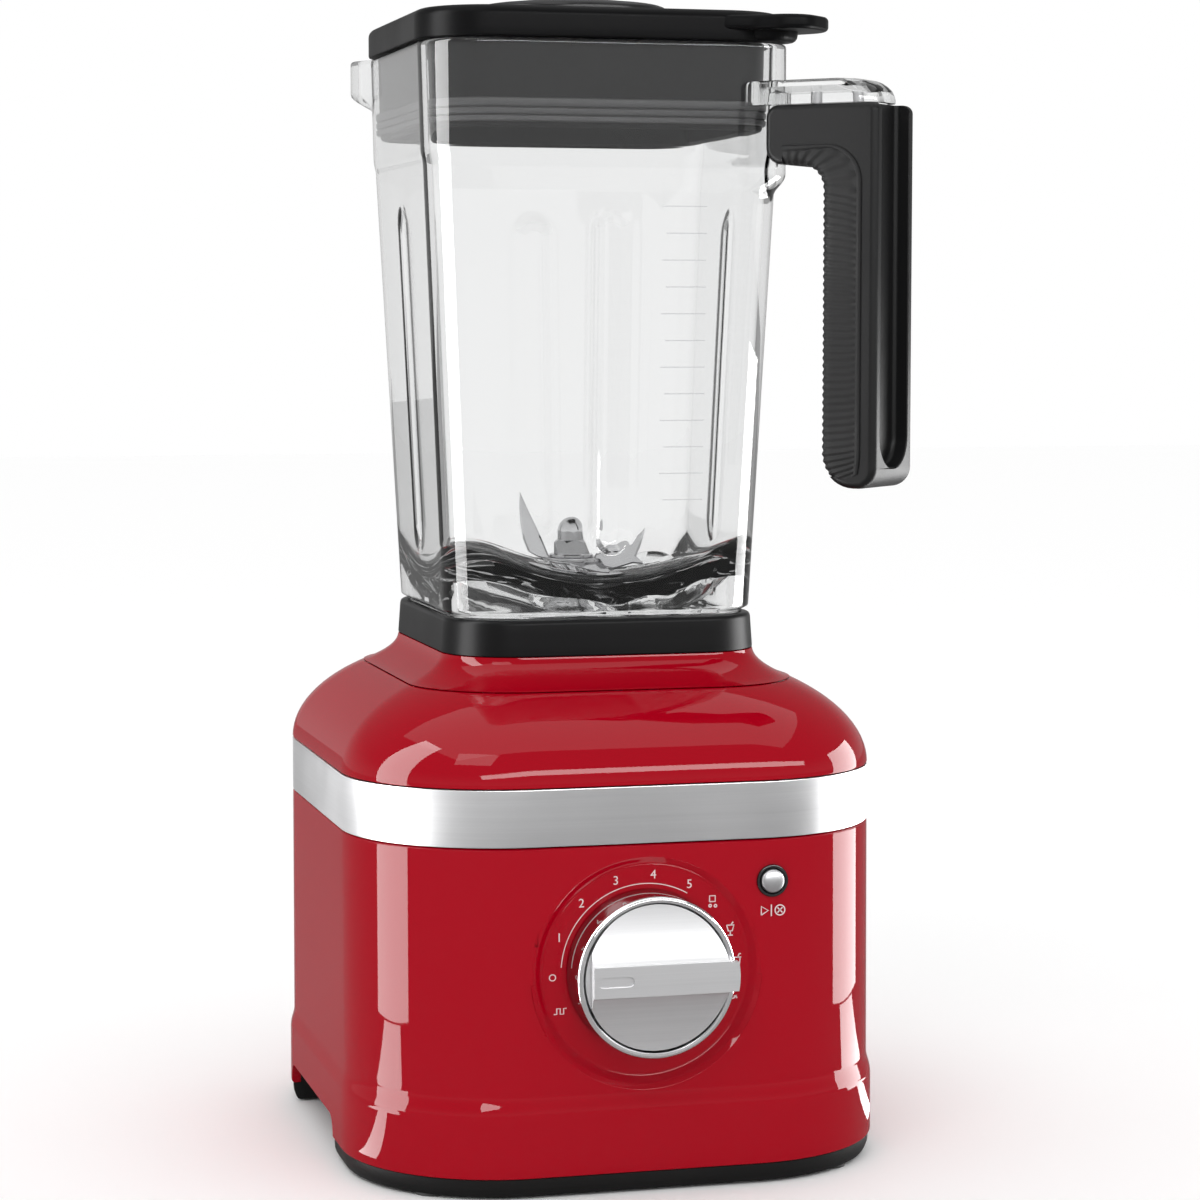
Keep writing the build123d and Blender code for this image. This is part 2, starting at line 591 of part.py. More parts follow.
def brush_holders():
    parts = []
    for a in (90, -90):
        tube_body = slab(COMMUTATOR_R + 3, COMMUTATOR_R + 31, -6, 6, brush_z - 7, frame_z0)
        tube_body -= slab(COMMUTATOR_R, COMMUTATOR_R + 29, -3 - PART_GAP, 3 + PART_GAP,
                          brush_z - 4 - PART_GAP, brush_z + 4 + PART_GAP)
        parts.append(Rot(0, 0, a) * tube_body)
    return group(parts)


def ball_bearing(outer, inner, z0, z1):
    """Plain ring with a groove in each face between its races."""
    body = tube(outer, inner, z0, z1)
    mid_low, mid_high = inner + (outer - inner) * 0.3, inner + (outer - inner) * 0.7
    body -= tube(mid_high, mid_low, z0 - 1, z0 + 0.8)
    body -= tube(mid_high, mid_low, z1 - 0.8, z1 + 1)
    return body


def cooling_fan():
    """Radial fan on the lower end of the motor shaft."""
    body = tube(9, LOWER_SHAFT_R, fan_z0, fan_z1) + tube(FAN_R, 8, fan_z1 - 1.5, fan_z1)
    for i in range(11):
        blade = slab(8.5, FAN_R, -0.8, 0.8, fan_z0, fan_z1 - 1)
        body += Rot(0, 0, i * 360 / 11) * blade
    return body


def cooling_duct():
    """Ring that leads the fan's air to the vents in the floor."""
    inner = FAN_R + 2
    body = tube(inner + 2, inner, COVER_Z + COVER_T, fan_z1 + 2)
    return body + tube(inner + 8, inner, COVER_Z + COVER_T, COVER_Z + COVER_T + 2)


def lobes(radius, orbit, z0, z1):
    """Star section: a round core with rounded lobes around it."""
    body = rod(orbit, z0, z1)
    for i in range(COUPLER_LOBES):
        a = 2 * pi * i / COUPLER_LOBES
        body += rod(radius, z0, z1, orbit * cos(a), orbit * sin(a))
    return body


def drive_coupler():
    """Socket on top of the motor shaft with a star-shaped mouth."""
    body = rod(COUPLER_R, coupler_z0, coupler_z1)
    body = chamfer(body.edges().group_by(Axis.Z)[-1], 0.8)
    body -= lobes(LOBE_R + BODY_GAP, LOBE_ORBIT, coupler_z1 - COUPLER_ENGAGE - 1, coupler_z1 + 1)
    return body - rod(SHAFT_R, coupler_z0 - 1, coupler_z1 - COUPLER_ENGAGE - 1)


# ================================================================ controls
switch_y0 = dial_floor + WALL
board_y = switch_y0 + 17.0


def speed_switch():
    """Rotary switch behind the dial."""
    body = slab(-14, 14, switch_y0, board_y, DIAL_Z - 14, DIAL_Z + 14)
    body = fillet(body.edges().filter_by(Axis.Y), 3)
    return body - plug_y(KNOB_SHAFT_R + RUN_FIT, switch_y0 - 1, board_y - 3, z=DIAL_Z)


def knob_shaft():
    return plug_y(KNOB_SHAFT_R, knob_face_y + 1.5, board_y - 4, z=DIAL_Z)


def control_board():
    """Upright circuit board with its largest parts."""
    board = slab(-52, 56, board_y, board_y + 1.6, DIAL_Z - 32, DIAL_Z + 36)
    board += slab(-46, -22, board_y + 1, board_y + 16, DIAL_Z - 22, DIAL_Z + 6)
    board += plug_y(7, board_y + 1, board_y + 19, -34, DIAL_Z + 20)
    board += slab(24, 44, board_y + 1, board_y + 12, DIAL_Z - 20, DIAL_Z - 2)
    board += slab(-10, 10, board_y + 1, board_y + 7, DIAL_Z - 26, DIAL_Z - 12)
    return board


button_front = front_y(BUTTON_Z)


def button_bezel():
    """Black ring round the start button, pressed into the case."""
    body = plug_y(BEZEL_R, button_front - 1.0, button_front - 0.15, BUTTON_X, BUTTON_Z)
    body += plug_y(BEZEL_R - 0.5 - PART_GAP, button_front - 0.6, button_front + 7, BUTTON_X, BUTTON_Z)
    return body - plug_y(BUTTON_R + SLIDE_GAP, button_front - 2, button_front + 8, BUTTON_X, BUTTON_Z)


def start_button():
    body = plug_y(BUTTON_R, button_front - 2.4, button_front + 7.5, BUTTON_X, BUTTON_Z)
    front = body.edges().group_by(Axis.Y)[0]
    return fillet(front, 1.2)


def button_switch():
    """Push switch that stands on the board behind the start button."""
    y0 = button_front + 7.5 + BUTTON_TRAVEL + 0.4
    return slab(BUTTON_X - 6, BUTTON_X + 6, y0, board_y, BUTTON_Z - 6, BUTTON_Z + 6)


knob_back_y = dial_floor - BODY_GAP
knob_ring_y = dial_front - KNOB_PROUD
knob_face_y = knob_ring_y + 1.2


def knob_ring():
    """Chromed skirt round the knob."""
    outer = plug_y(KNOB_R, knob_ring_y, knob_back_y, z=DIAL_Z)
    outer = fillet(outer.edges().group_by(Axis.Y)[0], 0.8)
    return outer - plug_y(KNOB_R - KNOB_RING_T, knob_ring_y - 1, knob_back_y + 1, z=DIAL_Z)


def speed_knob():
    """Face disc with a raised bar; the ring is pressed on over its back step."""
    face_r = KNOB_R - KNOB_RING_T - KNOB_FACE_GAP
    body = plug_y(face_r, knob_face_y, knob_back_y - 2, z=DIAL_Z)
    body += plug_y(KNOB_R - KNOB_RING_T, knob_face_y + 6, knob_back_y - 2, z=DIAL_Z)
    bar = slab(-face_r, face_r, knob_face_y - KNOB_BAR_PROUD, knob_face_y + 1,
               DIAL_Z - KNOB_BAR_W / 2, DIAL_Z + KNOB_BAR_W / 2)
    foot = slab(-face_r, face_r, knob_face_y - 1.2, knob_face_y + 1,
                DIAL_Z - KNOB_BAR_W / 2 - 3, DIAL_Z + KNOB_BAR_W / 2 + 3)
    body += (bar + foot) & plug_y(face_r, knob_face_y - 9, knob_face_y + 2, z=DIAL_Z)
    pointer = slab(-face_r + 3, -face_r + 15, knob_face_y - KNOB_BAR_PROUD - 1,
                   knob_face_y - KNOB_BAR_PROUD + 0.6, DIAL_Z - 1.6, DIAL_Z + 1.6)
    body -= fillet(pointer.edges().filter_by(Axis.Y), 1.5)
    return body - plug_y(KNOB_SHAFT_R, knob_face_y + 1.5, knob_back_y, z=DIAL_Z)


# ================================================================ jar
jar_z0 = seat_z + BODY_GAP
jar_z1 = jar_z0 + JAR_H
foot_z1 = collar_z1 + 1.2
shoulder_z = jar_z0 + SHOULDER_H
bowl_z0 = jar_z0 + BOWL_RISE
bowl_centre = bowl_z0 + BOWL_R
hub_flat_z = bowl_z0 + 2.2
lid_z0 = jar_z1 + BODY_GAP
arm_z1 = jar_z1 - ARM_BELOW_RIM
arm_z0 = arm_z1 - ARM_T
bracket_z1 = arm_z1 + BRACKET_H
grip_z0 = arm_z1 - GRIP_L


def jar_sections(inset):
    """Jar wall from above the foot to the rim; inset 0 is the outside."""
    return [
        (JAR_LOW_HALF - inset, JAR_LOW_HALF - inset, JAR_LOW_R - inset, foot_z1),
        (SHOULDER_HALF - inset, SHOULDER_HALF - inset, SHOULDER_R - inset, shoulder_z),
        (SHOULDER_HALF + SHOULDER_OUT - inset, SHOULDER_HALF + SHOULDER_OUT - inset,
         SHOULDER_R + SHOULDER_OUT - inset, shoulder_z + SHOULDER_RISE),
        (JAR_RIM_HALF - inset, JAR_RIM_HALF - inset, JAR_RIM_R - inset, jar_z1),
    ]


def inner_half(z):
    """Half width of the jar's inside between the shoulder and the rim."""
    low, high = shoulder_z + SHOULDER_RISE, jar_z1
    share = (z - low) / (high - low)
    return SHOULDER_HALF + SHOULDER_OUT + (JAR_RIM_HALF - SHOULDER_HALF - SHOULDER_OUT) * share - JAR_WALL


def wall_ribs(extra):
    """One upright baffle in the middle of each wall, round at its top; extra widens it."""
    half_w = RIB_W / 2 - JAR_WALL + extra
    low, high = jar_z0 + RIB_FOOT, jar_z0 + RIB_TOP
    lean = (SHOULDER_HALF - JAR_LOW_HALF) / (shoulder_z - foot_z1)
    face_low = JAR_LOW_HALF + lean * (low - foot_z1)
    rib = slab(-half_w, half_w, -RIB_DEPTH - extra, 60, low, high - half_w)
    rib += Pos(0, 30 - (RIB_DEPTH + extra) / 2, high - half_w) * Rot(90, 0, 0) * Cylinder(
        half_w, 60 + RIB_DEPTH + extra)
    shape = None
    for turn in range(4):
        one = Rot(0, 0, 90 * turn) * Pos(0, face_low, low) * Rot(-degrees(atan(lean)), 0, 0) * Pos(0, 0, -low) * rib
        shape = one if shape is None else shape + one
    return shape


def jar_outer():
    body = lofted(jar_sections(0))
    body += prism(JAR_FOOT_HALF, JAR_FOOT_HALF, JAR_FOOT_R, jar_z0, foot_z1)
    channel = rod(CHANNEL_R, arm_z0 - 4, jar_z1, CHANNEL_OUT, 0)
    body += on_handle(channel)
    spout = rod(SPOUT_R, jar_z1 - SPOUT_DROP - SPOUT_H, jar_z1 - SPOUT_DROP,
                -(jar_corner(JAR_RIM_HALF, JAR_RIM_R) + SPOUT_OUT - SPOUT_R), 0)
    spout = chamfer(spout.edges().group_by(Axis.Z)[0], 4.0)
    body += on_handle(spout)
    bracket = side_profile(
        [(CHANNEL_OUT, arm_z1 + PART_GAP), (BRACKET_END, arm_z1 + PART_GAP),
         (BRACKET_END, bracket_z1), (CHANNEL_OUT, bracket_z1)],
        [((BRACKET_END, bracket_z1), BRACKET_H - 1.0)], BRACKET_W)
    for x in grip_screw_at():
        bracket -= screw_hole(x, 0, arm_z1, arm_z1 + 6.5)
    return body + on_handle(bracket)


def jar_corner(half, radius):
    """Distance from the axis to a rounded corner."""
    return (half - radius) * sqrt(2) + radius


def jar():
    """Clear jar: hollow skirt, bowl floor, wall ribs, pouring lip, handle channel and bracket."""
    body = jar_outer()
    low_half, rim_half = JAR_LOW_HALF - JAR_WALL, JAR_RIM_HALF - JAR_WALL
    cavity = lofted([(low_half, low_half, JAR_LOW_R - JAR_WALL, jar_z0)] + jar_sections(JAR_WALL)
                    + [(rim_half, rim_half, JAR_RIM_R - JAR_WALL, jar_z1 + 1)])
    cavity += on_handle(rod(CHANNEL_R - JAR_WALL, arm_z0, jar_z1 + 1, CHANNEL_OUT, 0))
    mouth = -(jar_corner(JAR_RIM_HALF, JAR_RIM_R) + SPOUT_OUT - SPOUT_R)
    lip_z0 = jar_z1 - SPOUT_DROP - SPOUT_H + JAR_WALL
    lip = rod(SPOUT_R - JAR_WALL, lip_z0, jar_z1 + 1, mouth, 0)
    cavity += on_handle(chamfer(lip.edges().group_by(Axis.Z)[0], 3.0))
    tall = jar_z1 + 20 - bowl_z0
    bowl = Pos(0, 0, bowl_centre) * Sphere(BOWL_R) + rod(BOWL_R, bowl_centre, bowl_z0 + tall)
    bowl &= slab(-120, 120, -120, 120, hub_flat_z, jar_z1 + 20)
    cavity &= bowl
    cavity -= wall_ribs(JAR_WALL)
    body -= cavity
    body -= rod(HUB_R + PART_GAP, jar_z0 - 5, hub_flat_z + 5)
    body -= wall_ribs(0)
    skirt_half = JAR_FOOT_HALF - JAR_WALL
    skirt = prism(skirt_half, skirt_half, JAR_FOOT_R - JAR_WALL, jar_z0 - 1, bowl_z0 + 30)
    under = Pos(0, 0, bowl_centre) * Sphere(BOWL_R + FLOOR_T)
    body -= skirt - under
    body -= rod(HUB_FLANGE_R + 8, jar_z0 - 1, hub_flat_z - FLOOR_T)
    return body


def grip_screw_at():
    return (INSERT_START + 6.0, INSERT_START + 22.0)


def grip_blank():
    """Whole handle outline before the soft insert is let in."""
    blank = side_profile(
        [(ARM_ROOT, arm_z1), (GRIP_OUTER, arm_z1), (GRIP_OUTER, grip_z0), (GRIP_INNER, grip_z0),
         (GRIP_INNER, arm_z0), (ARM_ROOT, arm_z0)],
        [((GRIP_OUTER, arm_z1), 3.0), ((GRIP_OUTER, grip_z0), 6.0), ((GRIP_INNER, grip_z0), 13.0),
         ((GRIP_INNER, arm_z0), 9.0), ((ARM_ROOT, arm_z0), 6.0), ((ARM_ROOT, arm_z1), 4.0)],
        GRIP_W)
    return blank


def insert_zone():
    return side_profile(
        [(INSERT_START, arm_z0 + INSERT_ARM_T), (INSERT_OUTER, arm_z0 + INSERT_ARM_T),
         (INSERT_OUTER, grip_z0 + 5), (GRIP_INNER - 5, grip_z0 + 5), (GRIP_INNER - 5, arm_z0 - 30),
         (INSERT_START, arm_z0 - 30)],
        [((INSERT_OUTER, arm_z0 + INSERT_ARM_T), 13.0)],
        GRIP_W + 2)


def insert_core():
    return side_profile(
        [(INSERT_START - 1, arm_z0 + INSERT_ARM_T + 1), (INSERT_OUTER + 1, arm_z0 + INSERT_ARM_T + 1),
         (INSERT_OUTER + 1, grip_z0 + 3), (GRIP_INNER + INSERT_T, grip_z0 + 3),
         (GRIP_INNER + INSERT_T, arm_z0 + INSERT_T), (INSERT_START - 1, arm_z0 + INSERT_T)],
        [((GRIP_INNER + INSERT_T, arm_z0 + INSERT_T), 9.0 + INSERT_T),
         ((GRIP_INNER + INSERT_T, grip_z0 + 3), 10.0)],
        GRIP_W - 2 * INSERT_T)


def grip_insert():
    """Soft skin on the inner side of the handle."""
    return on_handle((grip_blank() & insert_zone()) - insert_core())


def handle_grip():
    """Rigid handle core below the jar's bracket, with a groove down its outer face."""
    body = grip_blank()
    body = body - ((grip_blank() & insert_zone()) - insert_core())
    floor_r = GROOVE_W / 2
    groove = slab(GRIP_OUTER - GROOVE_DEPTH, GRIP_OUTER + 2, -floor_r, floor_r,
                  grip_z0 + 7 + floor_r, arm_z1 + 1)
    groove += Pos(GRIP_OUTER - GROOVE_DEPTH + 10, 0, grip_z0 + 7 + floor_r) * Rot(0, 90, 0) * Cylinder(floor_r, 20)
    body -= groove
    for x in grip_screw_at():
        body -= screw_hole(x, 0, arm_z0, arm_z1 + 1)
        body -= rod(SCREW_HEAD_R + PART_GAP, arm_z0, arm_z0 + INSERT_T + 3.2, x, 0)
    return on_handle(body)


def grip_screws():
    head = arm_z0 + INSERT_T + 3.2
    return group([on_handle(screw(x, 0, head, arm_z1 + 6)) for x in grip_screw_at()])


# ================================================================ blade unit
hub_z0 = coupler_z1 + 1.0
hub_top = hub_flat_z + JAR_GASKET_T + HUB_RISE
blade_z0 = hub_top + 0.6
blade_z1 = blade_z0 + 2 * BLADE_T + 0.1


def bearing_housing():
    """Cartridge through the jar's floor: body, flange and raised neck."""
    flange_z0 = hub_flat_z + JAR_GASKET_T
    body = rod(HUB_R, hub_z0, flange_z0 + 1) + rod(HUB_FLANGE_R, flange_z0, flange_z0 + HUB_FLANGE_T)
    body += rod(HUB_NECK_R, flange_z0, hub_top)
    body -= rod(HUB_BORE_R, hub_z0 - 1, hub_z0 + 15)
    body -= rod(6.5, hub_z0 + 14, hub_top + 1)
    return body


def jar_gasket():
    return tube(HUB_FLANGE_R - 1, HUB_R + PART_GAP, hub_flat_z, hub_flat_z + JAR_GASKET_T)


def retaining_nut():
    """Ring nut that clamps the cartridge from below."""
    z1 = hub_flat_z - FLOOR_T
    body = rod(JAR_NUT_R, z1 - JAR_NUT_H, z1) - rod(HUB_R + PART_GAP, z1 - JAR_NUT_H - 1, z1 + 1)
    for i in range(6):
        body -= rod(2.6, z1 - JAR_NUT_H - 1, z1 - 2.5, JAR_NUT_R * cos(i * pi / 3), JAR_NUT_R * sin(i * pi / 3))
    return body


def blade_bearings():
    """Two ball bearings in the cartridge."""
    low = ball_bearing(HUB_BORE_R, BLADE_SHAFT_R, hub_z0 + 0.5, hub_z0 + 7.0)
    high = ball_bearing(HUB_BORE_R, BLADE_SHAFT_R, hub_z0 + 7.5, hub_z0 + 14)
    return group([low, high])


def shaft_seal():
    return tube(6.5, BLADE_SHAFT_R + 0.05, hub_top - 6, hub_top - 0.5)


def blade_shaft():
    body = rod(BLADE_SHAFT_R - RUN_FIT, coupler_z1 - 6, blade_z1 + WASHER_T + NUT_HEX_H + 3)
    return body


def jar_coupler():
    """Star-shaped plug on the lower end of the blade shaft."""
    z0 = coupler_z1 - COUPLER_ENGAGE
    body = lobes(LOBE_R, LOBE_ORBIT, z0, coupler_z1 - 0.5)
    return body - rod(BLADE_SHAFT_R - RUN_FIT, coupler_z1 - 6, coupler_z1)


def prong(length, root_w, tip_w, lift, turn, z):
    """Bent blade arm: length along the arm, lift above level, turn about the axis."""
    start = BLADE_HUB_R - 0.7
    flat = Polyline((start - 3, -root_w / 2), (start + length * 0.55, -root_w * 0.46),
                    (start + length, -tip_w / 2), (start + length - 2, tip_w / 2),
                    (start + length * 0.5, root_w * 0.36), (start - 3, root_w / 2), close=True)
    plate = extrude(make_face(flat), BLADE_T)
    bent = Pos(start, 0, 0) * Rot(0, -lift, 0) * Pos(-start, 0, 0) * plate
    keep = slab(start, 99, -60, 60, -99, 99)
    return Rot(0, 0, turn) * Pos(0, 0, z) * (bent & keep)


def blade_plate(arms, z):
    body = rod(BLADE_HUB_R, z, z + BLADE_T)
    for length, root_w, tip_w, lift, turn in arms:
        body += prong(length, root_w, tip_w, lift, turn, z)
    return body - rod(BLADE_SHAFT_R - RUN_FIT, z - 2, z + BLADE_T + 2)


def upper_blade():
    """Upper plate: a wide arm raised a little and a narrow arm raised steeply."""
    return blade_plate([(20.5, 15, 2.0, 36, -8), (28, 11, 1.4, 72, 172)], blade_z0 + BLADE_T + 0.05)


def lower_blade():
    """Lower plate: two arms turned down towards the bowl."""
    return blade_plate([(22, 13, 2.0, -14, -78), (21, 13, 2.0, -8, 102)], blade_z0)


def blade_washer():
    z0 = blade_z0 + 2 * BLADE_T + 0.1
    return tube(WASHER_R, BLADE_SHAFT_R - RUN_FIT, z0, z0 + WASHER_T)


def acorn_nut():
    """Domed nut that holds the blades on their shaft."""
    z0 = blade_z1 + WASHER_T
    body = Pos(0, 0, z0) * extrude(RegularPolygon(NUT_ACROSS / 2, 6, major_radius=False), NUT_HEX_H)
    body &= Pos(0, 0, z0 + NUT_HEX_H / 2) * Cone(NUT_ACROSS / 2 + NUT_HEX_H, NUT_ACROSS / 2, NUT_HEX_H)
    body += rod(NUT_ACROSS / 2 - 0.6, z0 + 1, z0 + NUT_H - NUT_ACROSS / 2 + 0.6)
    body += Pos(0, 0, z0 + NUT_H - NUT_ACROSS / 2 + 0.6) * Sphere(NUT_ACROSS / 2 - 0.6)
    return body - rod(BLADE_SHAFT_R - RUN_FIT, z0 - 1, z0 + NUT_HEX_H + 3)


# ================================================================ lid and cap
lid_z1 = lid_z0 + LID_RIM_H
plug_z0 = jar_z1 - LID_PLUG_DEPTH
gasket_z1 = jar_z1 - GASKET_DROP
gasket_z0 = gasket_z1 - GASKET_H


def plug_half(z):
    return inner_half(z) - BODY_GAP - GASKET_T


def lid_plug(inset, z0, z1):
    low, high = plug_half(z0) - inset, plug_half(z1) - inset
    radius = JAR_RIM_R - JAR_WALL - BODY_GAP - inset
    return lofted([(low, low, radius, z0), (high, high, radius, z1)])


def lid():
    """Lid: rim plate, hollow plug, tube for the cap and a tab over the handle."""
    rim = prism(LID_RIM_HALF, LID_RIM_HALF, LID_RIM_R, lid_z0, lid_z1)
    tip = TAB_REACH - TAB_W / 2
    tab = slab(0, tip, -TAB_W / 2, TAB_W / 2, lid_z1 - 2 - TAB_T, lid_z1 - 2)
    tab += rod(TAB_W / 2, lid_z1 - 2 - TAB_T, lid_z1 - 2, tip, 0)
    rim += on_handle(tab)
    body = rim + lid_plug(0, plug_z0, lid_z0 + 1)
    body -= lid_plug(LID_WALL, plug_z0 - 1, lid_z1 - LID_TOP_T)
    neck = CAP_PLUG_R + SLIDE_GAP
    body += rod(neck + LID_WALL, plug_z0 + 6, lid_z1 - 1)
    return body - rod(neck, plug_z0, lid_z1 + 1)


def lid_gasket():
    """Soft ring round the lid's plug."""
    band = lid_plug(-GASKET_T, gasket_z0, gasket_z1) - lid_plug(0, gasket_z0 - 1, gasket_z1 + 1)
    for i in range(3):
        z = gasket_z0 + GASKET_H * (i + 0.5) / 3
        band -= lid_plug(-GASKET_T - 1, z, z + 0.9) - lid_plug(-GASKET_T * 0.5, z - 1, z + 2)
    return band


def fill_cap():
    """Cap in the middle of the lid: domed disc with a hollow plug."""
    z0 = lid_z1 + SLIDE_GAP
    disc = rod(CAP_R, z0, z0 + CAP_H)
    disc = fillet(disc.edges().group_by(Axis.Z)[-1], 1.5)
    dome_r = (CAP_R ** 2 + CAP_DOME ** 2) / (2 * CAP_DOME)
    crown = Pos(0, 0, z0 + CAP_H + CAP_DOME - dome_r) * Sphere(dome_r)
    crown &= rod(CAP_R - 2.0, z0 + 1, z0 + CAP_H + CAP_DOME + 1)
    plug = rod(CAP_PLUG_R, z0 - CAP_PLUG_DEPTH, z0 + 1)
    plug -= rod(CAP_PLUG_R - CAP_WALL, z0 - CAP_PLUG_DEPTH - 1, z0)
    return disc + crown + plug


# ================================================================ write every piece
NODES = {
    "motor_housing": motor_housing, "trim_band": trim_band, "top_housing": top_housing,
    "neck_cover": neck_cover, "jar_seat": jar_seat, "bottom_cover": bottom_cover,
    "base_feet": base_feet, "rubber_pads": rubber_pads, "cord_inlet": cord_inlet,
    "cover_screws": cover_screws, "case_screws": case_screws, "neck_screws": neck_screws,
    "seat_screws": seat_screws, "motor_mounts": motor_mounts, "motor_screws": motor_screws,
    "upper_frame": upper_frame, "lower_frame": lower_frame, "tie_screws": tie_screws,
    "motor_stator": motor_stator, "stator_windings": stator_windings,
    "brush_holders": brush_holders, "carbon_brushes": carbon_brushes,
    "upper_bearing": lambda: ball_bearing(UPPER_BEARING_R, SHAFT_R, upper_bearing_z0, upper_bearing_z1),
    "lower_bearing": lambda: ball_bearing(LOWER_BEARING_R, LOWER_SHAFT_R, lower_bearing_z0, lower_bearing_z1),
    "cooling_duct": cooling_duct, "control_board": control_board, "speed_switch": speed_switch,
    "button_switch": button_switch, "button_bezel": button_bezel,
    "motor_shaft": motor_shaft, "armature": armature, "armature_windings": armature_windings,
    "commutator": commutator, "cooling_fan": cooling_fan, "drive_coupler": drive_coupler,
    "speed_knob": speed_knob, "knob_ring": knob_ring, "knob_shaft": knob_shaft,
    "start_button": start_button,
    "jar": jar, "handle_grip": handle_grip, "grip_insert": grip_insert, "grip_screws": grip_screws,
    "bearing_housing": bearing_housing, "jar_gasket": jar_gasket, "retaining_nut": retaining_nut,
    "blade_bearings": blade_bearings, "shaft_seal": shaft_seal,
    "blade_shaft": blade_shaft, "jar_coupler": jar_coupler, "upper_blade": upper_blade,
    "lower_blade": lower_blade, "blade_washer": blade_washer, "acorn_nut": acorn_nut,
    "lid": lid, "lid_gasket": lid_gasket, "fill_cap": fill_cap,
}

os.makedirs("parts", exist_ok=True)
for name, make in NODES.items():
    shape = make()
    print(name, len(shape.solids()), round(shape.volume))
    export_step(shape, f"parts/{name}.step")
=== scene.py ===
"""Countertop blender: painted die-cast base, clear jar with a side handle, lid and fill cap.

Sizes are millimetres in the code and metres in the meshes. +Z is up, the dial faces -Y and the
jar's handle points to the front right.
"""
import logging
import math
from dataclasses import dataclass, field
from enum import Enum
from functools import cache
from typing import Callable, Iterable, Sequence

import bmesh
import bpy
from mathutils import Matrix, Vector


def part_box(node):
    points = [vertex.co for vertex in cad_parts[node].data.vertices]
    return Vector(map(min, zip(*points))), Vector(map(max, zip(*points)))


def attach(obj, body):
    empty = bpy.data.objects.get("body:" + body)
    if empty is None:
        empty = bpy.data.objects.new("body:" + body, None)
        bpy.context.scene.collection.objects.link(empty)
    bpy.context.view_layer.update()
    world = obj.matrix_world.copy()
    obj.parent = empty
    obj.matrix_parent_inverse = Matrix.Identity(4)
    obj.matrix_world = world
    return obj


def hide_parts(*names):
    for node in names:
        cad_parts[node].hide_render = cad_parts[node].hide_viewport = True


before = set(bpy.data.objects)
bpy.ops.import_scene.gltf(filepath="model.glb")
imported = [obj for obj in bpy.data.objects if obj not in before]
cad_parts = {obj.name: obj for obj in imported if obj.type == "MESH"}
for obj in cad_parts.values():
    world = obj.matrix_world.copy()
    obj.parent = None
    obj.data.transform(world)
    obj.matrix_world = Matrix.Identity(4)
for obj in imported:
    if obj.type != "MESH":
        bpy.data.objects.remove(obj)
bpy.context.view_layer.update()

logging.basicConfig(level=logging.INFO, format="%(message)s")
LOG = logging.getLogger("blender_model")

MM = 0.001
Point = tuple[float, float, float]
Ring = list[Point]
Outline = Sequence[tuple[float, float]]
Colour = tuple[float, float, float]
Piece = bpy.types.Object
Tree = bpy.types.NodeTree
Link = tuple[bpy.types.Node, str | int, bpy.types.Node, str | int]
HANDLE_TURN = math.radians(-45.0)
SPOUT_TURN = math.radians(135.0)
SMOOTH_ANGLE = math.radians(32.0)


class Body(Enum):
    """Bodies of the frame that modelled pieces ride on."""

    BASE = "base"
    KNOB = "knob"
    BUTTON = "button"
    JAR = "jar"
    BLADES = "blades"
    LID = "lid"
    CAP = "cap"


class Ends(Enum):
    """How the two ends of a rolled skin are finished."""

    FILLED = "filled"
    JOINED = "joined"


# ---------------------------------------------------------------- outlines
def rounded_ring(half_x: float, half_y: float, radius: float, z: float,
                 corner_steps: int = 22, side_steps: int = 6) -> Ring:
    """Points round a rounded rectangle, counter-clockwise from the middle of the +X side.

    Args:
        half_x: Half width in X.
        half_y: Half width in Y.
        radius: Corner radius.
        z: Height of the ring.
        corner_steps: Segments in each corner.
        side_steps: Segments in each straight side.

    Returns:
        The ring's points.
    """
    ring: Ring = []
    centres = ((1, 1), (-1, 1), (-1, -1), (1, -1))
    for turn, (sx, sy) in enumerate(centres):
        cx, cy = sx * (half_x - radius), sy * (half_y - radius)
        for step in range(corner_steps + 1):
            angle = math.pi / 2 * (turn + step / corner_steps)
            ring.append((cx + radius * math.cos(angle), cy + radius * math.sin(angle), z))
        nx, ny = centres[(turn + 1) % 4]
        end_angle = math.pi / 2 * (turn + 1)
        x0, y0 = ring[-1][0], ring[-1][1]
        x1 = nx * (half_x - radius) + radius * math.cos(end_angle)
        y1 = ny * (half_y - radius) + radius * math.sin(end_angle)
        for step in range(1, side_steps):
            share = step / side_steps
            ring.append((x0 + (x1 - x0) * share, y0 + (y1 - y0) * share, z))
    return ring


def circle_like(ring: Ring, radius: float, z: float) -> Ring:
    """Circle whose points lie in the same directions as those of another ring."""
    out: Ring = []
    for x, y, _ in ring:
        reach = math.hypot(x, y)
        out.append((x / reach * radius, y / reach * radius, z))
    return out


def polar(radius: float, angle: float, z: float) -> Point:
    """Point at a distance and direction from the drive axis."""
    return (radius * math.cos(angle), radius * math.sin(angle), z)


def circle_ring(radius: float, z: float, steps: int = 96) -> Ring:
    """Points round a circle on the drive axis."""
    return [polar(radius, 2 * math.pi * i / steps, z) for i in range(steps)]


def smoothstep(value: float) -> float:
    """Eases a share between 0 and 1."""
    value = min(1.0, max(0.0, value))
    return value * value * (3 - 2 * value)


def square_reach(angle: float, half: float, radius: float) -> float:
    """Distance from the axis to a rounded square in one direction."""
    a, b = abs(math.cos(angle)), abs(math.sin(angle))
    if b > a:
        a, b = b, a
    if half * b / a <= half - radius:
        return half / a
    centre = half - radius
    along = (a + b) * centre
    return along + math.sqrt(max(0.0, along * along - 2 * centre * centre + radius * radius))


